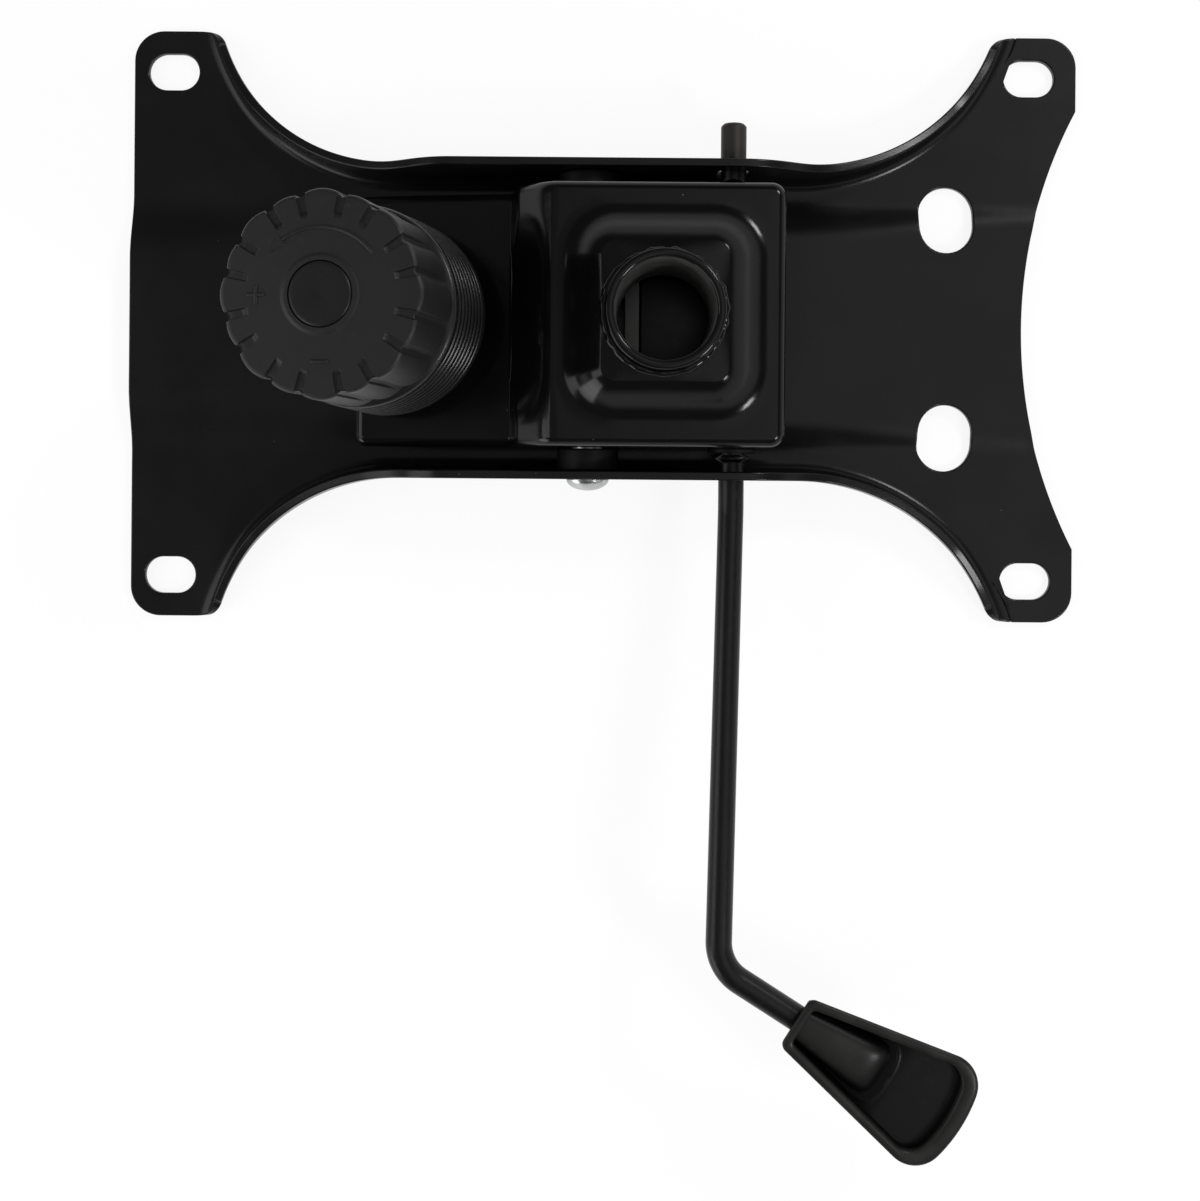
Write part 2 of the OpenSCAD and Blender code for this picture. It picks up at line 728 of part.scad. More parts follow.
// The handle seen from above: straight flaring sides, a curved far edge and round far corners
module handle_outline(in) {
    near = handle_half_near - in * flare_w;
    intersection() {
        polygon([[in, -near - flare * in], [far, -near - flare * far],
                 [far, near + flare * far], [in, near + flare * in]]);
        translate([handle_arc_x, 0]) circle(r = handle_arc_r - in, $fn = 128);
        union() {
            translate([-1, -far]) square([corner_x - flare / flare_w * handle_corner_r + 1, 2 * far]);
            translate([-1, -corner_top]) square([far, 2 * corner_top]);
            for (s = sides) translate([corner_x, s * corner_y]) circle(r = handle_corner_r - in);
        }
    }
}

module lever_handle() {
    color("#1d1d1f") translate(handle_at) rotate([0, 0, -handle_lean]) difference() {
        union() {
            difference() {
                translate([0, 0, -handle_t / 2]) linear_extrude(handle_t) handle_outline(0);
                translate([0, 0, -handle_t / 2 + handle_wall]) linear_extrude(handle_t)
                    handle_outline(handle_wall);
            }
            translate([1, 0, 0]) rotate([0, 90, 0])
                cylinder(r1 = rod_boss_near_r, r2 = rod_boss_far_r, h = rod_boss_len);
            translate([1, -rod_boss_near_r + 0.3, -handle_t / 2 + 1])
                cube([rod_boss_len, 2 * rod_boss_near_r - 0.6, handle_t / 2 - 1]);
        }
        translate([-1, 0, 0]) rotate([0, 90, 0]) cylinder(r = rod_r + 0.02, h = 27.05);
    }
}

seat_plate();
pivot_pin();
pivot_retainer();
pivot_bush_left();
pivot_bush_right();
stop_pad_left();
stop_pad_right();
tilt_bracket();
gas_lift_socket();
rod_bush_left();
rod_bush_right();
spring_cup();
tension_spring();
tension_bolt();
thrust_washer();
tension_knob();
knob_nut();
knob_cap();
lever_rod();
valve_tab();
lever_handle();
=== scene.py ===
# %% [markdown]
# # Dressing an office chair tilt mechanism
# The packed CAD model is loaded as a fixed frame, in metres, lying on its seat plate with +Z up.
# Each visible part is then made again as a fine surface worked out with numpy, in the same place,
# and rides on the CAD body that it belongs to. Parts that are right as they are only get a finish.
# Sizes are written in millimetres, and MM turns them into the frame's metres.

# %% Load the frame
import bmesh
import bpy
import numpy as np
from mathutils.geometry import delaunay_2d_cdt
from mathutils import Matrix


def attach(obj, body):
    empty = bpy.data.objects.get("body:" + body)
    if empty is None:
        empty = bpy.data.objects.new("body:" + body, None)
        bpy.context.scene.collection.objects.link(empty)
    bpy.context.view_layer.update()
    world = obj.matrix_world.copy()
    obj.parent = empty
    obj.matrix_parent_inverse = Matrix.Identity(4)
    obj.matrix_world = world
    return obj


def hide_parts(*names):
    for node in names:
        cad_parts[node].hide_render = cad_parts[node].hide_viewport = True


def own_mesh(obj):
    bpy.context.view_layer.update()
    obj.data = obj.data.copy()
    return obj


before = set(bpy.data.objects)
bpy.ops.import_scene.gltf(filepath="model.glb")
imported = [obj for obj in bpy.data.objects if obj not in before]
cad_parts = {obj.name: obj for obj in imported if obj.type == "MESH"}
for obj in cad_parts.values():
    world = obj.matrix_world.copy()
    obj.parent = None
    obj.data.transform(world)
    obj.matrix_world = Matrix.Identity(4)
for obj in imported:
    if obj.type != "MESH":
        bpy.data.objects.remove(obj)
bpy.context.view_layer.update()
MM = 0.001

# %% [markdown]
# The photograph looks straight down on the mechanism from about half a metre, a little off its middle.
# A camera that hangs over that point with a lens shift keeps the plate's outline square, which turning
# the camera towards the middle would not. The small roll is how the plate lay on the table.

# %% Camera
PICTURE_HEIGHT_PX = 1201
FOCAL_PX = 1716
SHIFT_PX = np.array([-20, -120.5])
CAMERA_PLACE = np.array([6.6, -46.4, 522.5])
CAMERA_ROLL = np.radians(0.47)
SENSOR = 36.0
camera_data = bpy.data.cameras.new("camera_over_bench")
camera_data.sensor_fit = "VERTICAL"
camera_data.sensor_width = SENSOR
camera_data.sensor_height = SENSOR
camera_data.lens = FOCAL_PX / PICTURE_HEIGHT_PX * SENSOR
camera_data.shift_x, camera_data.shift_y = SHIFT_PX / PICTURE_HEIGHT_PX
camera_data.clip_start = 0.01
camera = bpy.data.objects.new("camera_over_bench", camera_data)
camera.location = CAMERA_PLACE * MM
camera.rotation_euler = (0, 0, CAMERA_ROLL)
bpy.context.scene.collection.objects.link(camera)
bpy.context.scene.camera = camera
print("lens", round(camera_data.lens, 2), "mm")

# %% [markdown]
# Most surfaces here are a grid of points with quads between neighbours. The points come from a formula for
# each shape, but the quads are always joined in the same way, so one helper makes them for all.

# %% Grids
def grid_quads(rows, columns, wrap=False):
    """Quads of a grid counted row by row: each joins a point, its right neighbour and the two below.
    With wrap the last column joins the first."""
    row, column = np.meshgrid(np.arange(rows - 1), np.arange(columns - (not wrap)), indexing="ij")
    right = (column + 1) % columns
    corners = [row * columns + column, row * columns + right,
               (row + 1) * columns + right, (row + 1) * columns + column]
    return np.stack(corners, -1).reshape(-1, 4)


def grid_shell(points, wrap=False):
    """A rows x columns x 3 array of points with its quads."""
    rows, columns = points.shape[:2]
    return points.reshape(-1, 3), grid_quads(rows, columns, wrap)


print("a 3 x 4 grid has", len(grid_quads(3, 4)), "quads, and", len(grid_quads(3, 4, True)), "as a tube")

# The count of open edges that it prints is 0 for a closed skin.

# %% Pieces
WELD_MM, SLIVER_MM = 0.003, 0.0005


def make_piece(name, shells, body, node, finish, faces_up=0, sharp=40):
    """Joins shells of (points in mm, faces) into one object. Closed shells turn their faces outwards;
    an open sheet turns so that most of its area looks up (1) or down (-1)."""
    sizes = np.cumsum([0] + [len(points) for points, _ in shells])
    faces = [face for (_, quads), first in zip(shells, sizes)
             for face in (np.asarray(quads) + first).tolist()]
    mesh = bpy.data.meshes.new(name)
    mesh.from_pydata((np.concatenate([points for points, _ in shells]) * MM).tolist(), [], faces)
    work = bmesh.new()
    work.from_mesh(mesh)
    bmesh.ops.remove_doubles(work, verts=work.verts, dist=WELD_MM * MM)
    bmesh.ops.dissolve_degenerate(work, edges=work.edges, dist=SLIVER_MM * MM)
    bmesh.ops.recalc_face_normals(work, faces=work.faces)
    if faces_up and faces_up * sum(f.normal.z * f.calc_area() for f in work.faces) < 0:
        bmesh.ops.reverse_faces(work, faces=work.faces)
    work.to_mesh(mesh)
    work.free()
    mesh.polygons.foreach_set("use_smooth", np.ones(len(mesh.polygons), bool))
    mesh.set_sharp_from_angle(angle=np.radians(sharp))
    mesh.materials.append(finish)
    piece = bpy.data.objects.new(name, mesh)
    bpy.context.scene.collection.objects.link(piece)
    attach(piece, body)
    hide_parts(node)
    sides = np.zeros(len(mesh.loops), np.int32)
    mesh.loops.foreach_get("edge_index", sides)
    print(f"{name}: {len(mesh.polygons)} faces, {(np.bincount(sides) == 1).sum()} open edges")
    return piece


print("seams closer than", WELD_MM, "mm are welded")

# %% [markdown]
# Pressed and moulded parts have no sharp changes of height. Three short formulas give them: a smooth step
# between two places, and the larger or the smaller of two heights with a fillet where they meet.

# %% Ramps and fillets
def ramp(low, high, x):
    """Smooth step: 0 below low, 1 above high, and 3k^2 - 2k^3 between."""
    k = np.clip((x - low) / (high - low), 0, 1)
    return k * k * (3 - 2 * k)


def soft_max(a, b, k):
    """The larger of two heights, with a round fillet where they are within k of each other."""
    h = np.clip(k - np.abs(a - b), 0, None) / k
    return np.maximum(a, b) + h * h * k / 4


def soft_min(a, b, k):
    """The smaller of two heights, with a round fillet where they are within k of each other."""
    return -soft_max(-a, -b, k)


print("halfway up a step:", ramp(0, 2, 1.0), " fillet where two heights meet:", soft_max(0.0, 0.0, 2.0))

# %% [markdown]
# Materials are graphs of nodes, which are long to write one by one. A small class holds an output
# socket, and arithmetic on it adds Math nodes, so a pattern reads like a formula. One method makes any
# other node. Patterns use Object coordinates, which are metres in the frame, so sizes are real sizes.

# %% A socket that can be calculated with
class Flow:
    """An output socket of a node; arithmetic on it adds Math nodes to the same tree."""

    def __init__(self, tree, socket):
        self.tree = tree
        self.socket = socket

    def node(self, kind, settings, sockets, out=0):
        """Adds a node: its settings first, then a value or a link for each socket named."""
        made = self.tree.nodes.new(kind)
        for key, value in settings.items():
            setattr(made, key, value)
        for key, value in sockets.items():
            if isinstance(value, Flow):
                self.tree.links.new(value.socket, made.inputs[key])
            else:
                made.inputs[key].default_value = value
        return Flow(self.tree, made.outputs[out])

    def math(self, operation, first, second):
        return self.node("ShaderNodeMath", {"operation": operation}, {0: first, 1: second})

    def __add__(self, other):
        return self.math("ADD", self, other)

    def __radd__(self, other):
        return self.math("ADD", other, self)

    def __sub__(self, other):
        return self.math("SUBTRACT", self, other)

    def __rsub__(self, other):
        return self.math("SUBTRACT", other, self)

    def __mul__(self, other):
        return self.math("MULTIPLY", self, other)

    def __rmul__(self, other):
        return self.math("MULTIPLY", other, self)

    def noise(self, size_mm, detail=2.0):
        """Cloudy noise from 0 to 1 whose lumps are about size_mm across."""
        sockets = {"Vector": self, "Scale": 1 / (size_mm * MM), "Detail": detail}
        return self.node("ShaderNodeTexNoise", {}, sockets, "Fac")

    def cells(self, size_mm):
        """Distance to the nearest of scattered points that lie about size_mm apart, 0 on a point."""
        sockets = {"Vector": self, "Scale": 1 / (size_mm * MM)}
        return self.node("ShaderNodeTexVoronoi", {}, sockets, "Distance")

    def step(self, low, high):
        """0 where the value is below low, 1 above high, smooth between; low may be the larger."""
        sockets = {"Value": self, "From Min": low, "From Max": high}
        return self.node("ShaderNodeMapRange", {"interpolation_type": "SMOOTHSTEP"}, sockets)

    def mix(self, first, second):
        """Colour first where this value is 0, second where it is 1."""
        return self.node("ShaderNodeMix", {"data_type": "RGBA"}, {0: self, 6: first, 7: second}, 2)

    def bump(self, depth_mm):
        """A normal for a surface whose height is this value times depth_mm."""
        return self.node("ShaderNodeBump", {}, {"Height": self, "Distance": depth_mm * MM})

    def part(self, axis):
        """One coordinate, "X", "Y" or "Z", of a vector."""
        return self.node("ShaderNodeSeparateXYZ", {}, {0: self}, axis)


print("shader arithmetic:", ", ".join(name for name in vars(Flow) if not name.startswith("_")))

# %% [markdown]
# Every finish starts in the same way: a material whose shader keeps some values constant, and the Object
# coordinates that its patterns are made from. What varies is linked in at the end. Nearly all colours here
# are greys, so they are given by a level and a little warmth.

# %% Starting a finish
def grey(level, warmth=0.0):
    """An almost neutral colour; warmth above 0 leans towards brown."""
    return (level * (1 + warmth), level, level * (1 - warmth), 1.0)


def start_finish(name, **constants):
    """A new material with constant shader values: its shader and its Object coordinates."""
    made = bpy.data.materials.new(name)
    made.use_nodes = True
    tree = made.node_tree
    shader = tree.nodes["Principled BSDF"]
    for socket, value in constants.items():
        shader.inputs[socket.replace("_", " ")].default_value = value
    return made, shader, Flow(tree, tree.nodes.new("ShaderNodeTexCoord").outputs["Object"])


def feed(shader, **flows):
    """Links flows into the shader's sockets, with _ for a space in a socket's name."""
    for socket, flow in flows.items():
        flow.tree.links.new(flow.socket, shader.inputs[socket.replace("_", " ")])


print("a warm grey:", np.round(grey(0.02, 0.1), 4))

# %% [markdown]
# The seat plate is dip-painted sheet steel: satin black, with the faint pebbled skin of paint, soft
# clouds where the film is thicker, and a few dust grains caught in it. All of that is noise at the size
# it has on the real sheet, in the colour, the roughness and a very shallow bump. A picture of paint could
# be wrapped on instead, but noise needs no unwrapping and has no seams.

# %% Satin black paint
CLOUD_MM, SMEAR_MM = 23, 7
GRAIN_APART_MM, GRAIN_PATCH_MM = 4.2, 31


def black_paint(name, level, rough, pebble_mm, pebble_depth_mm, grain_share, **constants):
    """Black paint: clouds in colour and gloss, a pebbled bump and rare pale grains."""
    made, shader, place = start_finish(name, **constants)
    clouds = place.noise(CLOUD_MM, 3)
    grains = place.cells(GRAIN_APART_MM).step(grain_share, grain_share * 0.4)
    grains = grains * place.noise(GRAIN_PATCH_MM).step(0.5, 0.62)
    colour = clouds.step(0.3, 0.7).mix(grey(level * 0.85), grey(level * 1.2))
    colour = (grains * 0.5).mix(colour, grey(0.32))
    smears = place.noise(SMEAR_MM, 4)
    feed(shader, Base_Color=colour, Roughness=rough + (smears - 0.5) * 0.10 + grains * 0.3,
         Normal=(place.noise(pebble_mm, 3) + grains * 0.6).bump(pebble_depth_mm))
    return made


satin_black = black_paint("satin_black_paint", level=0.0048, rough=0.22, pebble_mm=1.1,
                          pebble_depth_mm=0.008, grain_share=0.035, Specular_IOR_Level=0.20)
print("made", satin_black.name)

# %% [markdown]
# The bracket and its socket have a thicker, glossier coat, with long soft waves that bend reflections
# and grains of weld spatter under the paint. The same recipe serves with other numbers.

# %% Gloss black paint
gloss_black = black_paint("gloss_black_paint", level=0.0022, rough=0.16, pebble_mm=5.5,
                          pebble_depth_mm=0.030, grain_share=0.05, Specular_IOR_Level=0.21)
print("made", gloss_black.name)

# %% [markdown]
# Pins, washers and the nut are zinc plated: bright grey metal with a faint blotchy haze. The lever's rod
# is blackened steel, worn to a dark brown at its free end. The tab on it is dark steel with a pale nose that
# is painted light, standing in for the light that reaches the bottom of the socket. The spring is dark oiled
# steel. Each is a metal whose colour and roughness wander a little. Wear is a mask along one axis, so that
# it lands where the rod really wears, and the tab's painted light uses the same mask.

# %% Metals
DRAWN_LINE_MM = 0.5


def plated_metal(name, dull, bright, rough, warmth):
    """Metal whose colour goes from dull to bright in blotches, with fine lines left from drawing."""
    made, shader, place = start_finish(name, Metallic=1.0)
    blotches = place.noise(3.5, 4)
    lines = place.noise(DRAWN_LINE_MM, 2)
    colour = blotches.step(0.3, 0.7).mix(grey(dull, warmth), grey(bright, warmth))
    feed(shader, Base_Color=colour, Roughness=rough + (blotches - 0.5) * 0.22, Normal=lines.bump(0.006))
    return made


def worn_and_lit_steel(name, axis, worn_and_lit_mm, ragged_mm, dark, bare_and_lit, scuffed, **constants):
    """Dark steel with scuffs, paler past a place along one axis: worn on the rod, painted light on the tab.
    The mm pair says where the change starts and where it is complete, ragged_mm how far that edge wanders."""
    made, shader, place = start_finish(name, **constants)
    scuffs = place.noise(2.2, 5)
    along = place.part(axis) * (1 / MM) + (place.noise(4, 3) - 0.5) * ragged_mm
    past = along.step(*worn_and_lit_mm)
    scratched = scuffs.step(0.62, 0.78) * scuffed
    colour = (scratched + past - scratched * past).mix(dark, bare_and_lit)
    feed(shader, Base_Color=colour, Roughness=0.24 + scuffs * 0.16 + past * 0.14,
         Normal=place.noise(0.7, 3).bump(0.010))
    return made


zinc_plate = plated_metal("zinc_plate", dull=0.42, bright=0.60, rough=0.24, warmth=-0.01)
spring_steel = plated_metal("oiled_spring_steel", dull=0.10, bright=0.17, rough=0.34, warmth=0.03)
rod_black = worn_and_lit_steel("blackened_rod", "Y", worn_and_lit_mm=(45, 51), ragged_mm=14, dark=grey(0.006),
                       bare_and_lit=grey(0.022, 0.12), scuffed=0.3, Metallic=0.4, Specular_IOR_Level=0.3)
# The tab's pale nose is painted light, standing in for the light that reaches the bottom of the socket.
tab_steel_painted_lit_nose = worn_and_lit_steel("tab_steel_painted_lit_nose", "X", worn_and_lit_mm=(12.3, 11.9), ragged_mm=0, dark=grey(0.017),
                       bare_and_lit=grey(0.13, 0.02), scuffed=0.03, Metallic=1.0)
print("made", zinc_plate.name, spring_steel.name, rod_black.name, tab_steel_painted_lit_nose.name)

# %% [markdown]
# The knob and the lever's handle are moulded plastic. Spark-eroded moulds leave a fine even grain, and
# handling polishes it in patches. The knob's skirt came from a smoother mould than its grip. The handle's rim
# and the top of its rod socket are painted paler than its pocket, mottled where handling wears it: a painted
# sheen on top, and painted shade down in the pocket. The bushes are dark nylon, a little waxy, and the stop
# pads are dull rubber. One recipe covers them all, with a mask where one piece has two surfaces.

# %% Plastics
LEAN = np.radians(9.0)
BOLT_X, BOLT_Z = -58.3, 18.0
CREASE = 42.0
RIM_FROM, RIM_FULL = 44.0, 45.5


def moulded(name, level, rough, grain_mm, grain_depth_mm, warmth=0.0, where=None, paler=1.0, smoother=0.0,
            **constants):
    """Plastic with a fine mould grain, and patches that handling has polished and dusted. Where the mask
    is 1 the colour is paler times as light, unevenly, and the surface is smoother."""
    made, shader, place = start_finish(name, **constants)
    handled = place.noise(11, 3)
    dust = place.noise(2.6, 5).step(0.56, 0.78) * handled.step(0.4, 0.7)
    rough = rough + (0.5 - handled) * 0.16 + dust * 0.08
    plain = grey(level, warmth)
    if where:
        mask = where(place)
        pale = level * paler
        rubbed_tone_and_sheen = handled.step(0.42, 0.60).mix(grey(pale * 0.85, warmth), grey(pale * 1.25, warmth))
        plain = mask.mix(plain, rubbed_tone_and_sheen)
        rough = rough - mask * smoother
    feed(shader, Base_Color=(dust * 0.35).mix(plain, grey(level * 2.6 + 0.006, warmth)), Roughness=rough,
         Normal=place.noise(grain_mm, 2).bump(grain_depth_mm))
    return made


def on_skirt(place):
    """1 on the knob's skirt and 0 on its grip, by the height along the bolt's leaning axis."""
    along = place.part("Z") * np.cos(LEAN) - place.part("X") * np.sin(LEAN)
    foot = BOLT_Z * np.cos(LEAN) - BOLT_X * np.sin(LEAN)
    return along.step((foot + CREASE + 0.6) * MM, (foot + CREASE - 0.6) * MM)


def rim_sheen_pocket_shade(place):
    """1 on the handle's rim and on top of its rod socket, which are painted paler as sheen, and 0 in its
    pocket, which is painted darker as shade.
    """
    return place.part("Z").step(RIM_FROM * MM, RIM_FULL * MM)


knob_plastic = moulded("grained_black_plastic", level=0.0094, rough=0.42, grain_mm=0.45, grain_depth_mm=0.020,
                       warmth=0.02, where=on_skirt, paler=0.7, smoother=0.16, Specular_IOR_Level=0.26)
cap_plastic = moulded("cap_plastic", level=0.0055, rough=0.40, grain_mm=0.45, grain_depth_mm=0.020,
                      warmth=0.02, Specular_IOR_Level=0.22)
# The pocket's dark colour is painted shade; the six times paler rim and socket top are painted sheen.
handle_plastic = moulded("handle_plastic", level=0.0022, rough=0.36, grain_mm=0.6, grain_depth_mm=0.015,
                         warmth=0.04, where=rim_sheen_pocket_shade, paler=6.0, smoother=0.04, Specular_IOR_Level=0.13)
bush_nylon = moulded("dark_nylon", level=0.004, rough=0.50, grain_mm=0.8, grain_depth_mm=0.012,
                     Specular_IOR_Level=0.15)
pad_rubber = moulded("dull_rubber", level=0.012, rough=0.72, grain_mm=0.35, grain_depth_mm=0.030)
print("made", knob_plastic.name, cap_plastic.name, handle_plastic.name, bush_nylon.name, pad_rubber.name)

# %% [markdown]
# Black gloss shows little but what it reflects. The surroundings are a white room whose walls are white
# only near the floor and dark above, under a ceiling that is dim on the left and paler on the right. So
# level faces stay black, greyer towards the right, each bend shows a dark and a white line, and steep
# slopes catch white. What the camera sees directly is plain white, and mirror-like rays see the walls too.

# %% Room
WALL, WALL_DARK, WALL_TOP, WALL_FADE = 0.85, 0.12, 0.10, 0.38
WALL_SLANT = 0.2
CEILING_FROM, CEILING_FULL = 0.72, 0.90
DIM_LEFT, DIM_RIGHT, DIM_SPAN = 0.27, 0.84, (-0.12, 0.14)
SOFT_LIGHT = 0.58


def seen_rays(tree):
    """1 for rays that show the surroundings as they look: camera, mirror-like and see-through rays."""
    paths = tree.nodes.new("ShaderNodeLightPath").outputs
    seen = Flow(tree, paths["Is Camera Ray"])
    for ray in ("Is Glossy Ray", "Is Transmission Ray"):
        seen = seen.math("MAXIMUM", seen, Flow(tree, paths[ray]))
    return seen, Flow(tree, paths["Is Camera Ray"])


def white_room():
    """A world that is pale at eye level. Above, its walls fall to dark, later towards +X, and over them lies
    a ceiling that brightens towards +X. The camera itself sees strength 1 everywhere, and plain surfaces
    get an even soft light."""
    world = bpy.data.worlds.new("white_room")
    bpy.context.scene.world = world
    world.use_nodes = True
    tree = world.node_tree
    look = Flow(tree, tree.nodes.new("ShaderNodeTexCoord").outputs["Generated"])
    seen, camera_ray = seen_rays(tree)
    ceiling = look.part("X").step(*DIM_SPAN) * (DIM_RIGHT - DIM_LEFT) + DIM_LEFT
    height = look.part("Z") - look.part("X") * WALL_SLANT
    level = WALL + height.step(WALL_TOP, WALL_FADE) * (WALL_DARK - WALL)
    level = level + look.part("Z").step(CEILING_FROM, CEILING_FULL) * (ceiling - WALL_DARK)
    level = level + camera_ray * (1 - level)
    strength = seen * level + (1 - seen) * SOFT_LIGHT
    shade = tree.nodes["Background"]
    shade.inputs["Color"].default_value = (1, 1, 1, 1)
    tree.links.new(strength.socket, shade.inputs["Strength"])


white_room()
print("room: white to", WALL_TOP, "of the way up, then dimmer")

# %% [markdown]
# The floor is a plain white sheet under the plate. Most of what is seen of it is plain white, as in a
# cut-out studio picture, and a small share is lit like any surface, so the part still stands on its own
# shadow.

# %% Floor
FLOOR_Z = -0.4


def white_floor(half_m, shown, mirrored):
    """A level white floor just under the plate. A share of what is seen of it is plain white, a smaller one
    in reflections, and the rest is lit like any surface, so that it keeps the shadow."""
    mesh = bpy.data.meshes.new("floor")
    corners = np.array([[-1, -1, 0], [1, -1, 0], [1, 1, 0], [-1, 1, 0]]) * half_m + [0, 0, FLOOR_Z * MM]
    mesh.from_pydata(corners.tolist(), [], [[0, 1, 2, 3]])
    floor = bpy.data.objects.new("floor", mesh)
    bpy.context.scene.collection.objects.link(floor)
    made = bpy.data.materials.new("white_floor")
    made.use_nodes = True
    tree = made.node_tree
    tree.nodes.clear()
    seen, camera_ray = seen_rays(tree)
    lit = seen.node("ShaderNodeBsdfDiffuse", {}, {"Color": (0.9, 0.9, 0.9, 1)})
    plain = seen.node("ShaderNodeEmission", {}, {"Color": (1, 1, 1, 1), "Strength": 1.0})
    share = seen * mirrored + camera_ray * (shown - mirrored)
    both = seen.node("ShaderNodeMixShader", {}, {0: share, 1: lit, 2: plain})
    out = tree.nodes.new("ShaderNodeOutputMaterial")
    tree.links.new(both.socket, out.inputs["Surface"])
    mesh.materials.append(made)


white_floor(half_m=4.0, shown=0.88, mirrored=0.5)
print("floor laid")

# %% [markdown]
# Two small soft lamps on the right light most of the metal and give the crisp glints on its pressed
# corners. A broad one on the left draws the soft lines along the turned flanges, and a low one in front of
# it shows only in slopes that face it: an end of the step and a corner of the boss.

# %% Lamps
LAMPS_FACE = np.array([0.01, 0, 0.03])


def soft_lamp(name, place_m, size_m, watts):
    """A square lamp at a place, turned towards the middle of the bracket."""
    data = bpy.data.lights.new(name, "AREA")
    data.size = size_m
    data.energy = watts
    lamp = bpy.data.objects.new(name, data)
    bpy.context.scene.collection.objects.link(lamp)
    away = np.array(place_m) - LAMPS_FACE
    tip, turn = np.arctan2(np.hypot(away[0], away[1]), away[2]), np.arctan2(away[0], -away[1])
    lamp.location = place_m
    lamp.rotation_euler = (tip, 0, turn)


soft_lamp("lamp_upper_right", (0.48, 0.42, 0.62), size_m=0.16, watts=2.2)
soft_lamp("lamp_lower_right", (0.50, -0.38, 0.58), size_m=0.16, watts=2.2)
soft_lamp("lamp_broad_left", (-0.62, -0.10, 0.42), size_m=0.45, watts=1.6)
soft_lamp("lamp_low_left", (-0.58, -0.52, 0.12), size_m=0.40, watts=1.8)
bpy.context.scene.view_settings.view_transform = "Standard"
print(len(bpy.data.lights), "lamps")

# %% [markdown]
# Pressed sheet with holes is easiest to make as it is in the shop: cut the flat first, then press it.
# A Delaunay triangulation fills an outline, keeps the holes open, and passes through points that are
# placed close together where the sheet will bend. The heights are then worked out for all points at once.

# %% Cutting a flat sheet
def arc(middle, r, start, end, count):
    """Points on a circle from one angle to another, in degrees."""
    turn = np.radians(np.linspace(start, end, count))
    return np.stack([middle[0] + r * np.cos(turn), middle[1] + r * np.sin(turn)], -1)


def long_hole(middle, size, count=20):
    """A slot with half-round ends: two half circles of half the smaller size, joined by straights that have
    two points each."""
    r = min(size) / 2
    along = np.array([size[0] / 2 - r, size[1] / 2 - r])
    turn = 0 if size[0] >= size[1] else 90
    one, other = (arc(np.add(middle, s * along), r, a + turn, a + turn + 180, count)
                  for s, a in ((1, -90), (-1, 90)))
    k = np.array([[1], [2]]) / 3
    return np.concatenate([one, one[-1] + (other[0] - one[-1]) * k,
                           other, other[-1] + (one[0] - other[-1]) * k])


def inside(points, loop):
    """Even-odd rule: a point is inside if a line from it along +X crosses the loop an odd number of
    times."""
    a, b = loop, np.roll(loop, -1, 0)
    x, y = points[:, :1], points[:, 1:]
    spans = (a[:, 1] > y) != (b[:, 1] > y)
    rise = np.where(b[:, 1] == a[:, 1], 1.0, b[:, 1] - a[:, 1])
    return (spans & (x < a[:, 0] + (y - a[:, 1]) * (b[:, 0] - a[:, 0]) / rise)).sum(1) % 2 == 1


def between(points, outline, holes):
    """Which plan points lie inside an outline and outside its holes."""
    return inside(points, outline) & (sum(inside(points, hole) for hole in holes) == np.zeros(len(points)))


def mesh_points(xs, ys):
    """All crossings of two sets of lines, as plan points."""
    return np.stack(np.meshgrid(xs, ys), -1).reshape(-1, 2)


def cut_sheet(outline, holes, fill, crowd):
    """Plan points and triangles between an outline and its holes; fill points nearer than crowd to an
    edge are left out."""
    loops = [outline] + holes
    edge_points = np.concatenate(loops)
    fill = fill[between(fill, outline, holes)]
    gap = np.linalg.norm(fill[:, None] - edge_points[None], axis=2).min(1)
    points = np.concatenate([edge_points, fill[gap > crowd]])
    first = np.cumsum([0] + [len(loop) for loop in loops])
    edges = np.concatenate([np.stack([np.arange(len(loop)), np.roll(np.arange(len(loop)), -1)], -1) + start
                            for loop, start in zip(loops, first)])
    plan, _, faces = delaunay_2d_cdt(points.tolist(), edges.tolist(), [], 1, 1e-7, False)[:3]
    plan, faces = np.array(plan, float), np.array(faces)
    return plan, faces[between(plan[faces].mean(1), outline, holes)]


tried = cut_sheet(long_hole((0, 0), (40, 20)), [arc((0, 0), 4, 0, 330, 12)], np.zeros((0, 2)), 1.0)
print("a washer cut from a long blank:", len(tried[0]), "points,", len(tried[1]), "triangles")

# %% [markdown]
# The cut skin has no thickness yet. A Solidify modifier gives it the sheet's, and a Bevel modifier rounds the
# edges that the press left. Bevel needs room: a row of points just beside each cut edge gives the rounding
# clean faces to run on, which a plain triangulation would not.

# %% Thickness and edges
CUT_EDGE_ANGLE = np.radians(50)


def beside(loop, mm):
    """A loop of plan points moved to its right, each square to the line between its two neighbours."""
    along = np.roll(loop, -1, 0) - np.roll(loop, 1, 0)
    along /= np.linalg.norm(along, axis=1, keepdims=True)
    return loop + mm * np.stack([along[:, 1], -along[:, 0]], -1)


def thicken(piece, sheet_mm, edge_mm, clamped):
    """Gives a skin the thickness of its sheet, inwards, and takes the sharpness off the cut edges. A
    clamped rounding shrinks where faces are small."""
    wall = piece.modifiers.new("sheet", "SOLIDIFY")
    wall.thickness = sheet_mm * MM
    wall.offset = -1
    wall.use_even_offset = True
    edge = piece.modifiers.new("cut_edges", "BEVEL")
    edge.width = edge_mm * MM
    edge.segments = 3
    edge.limit_method = "ANGLE"
    edge.angle_limit = CUT_EDGE_ANGLE
    edge.use_clamp_overlap = clamped
    edge.harden_normals = True


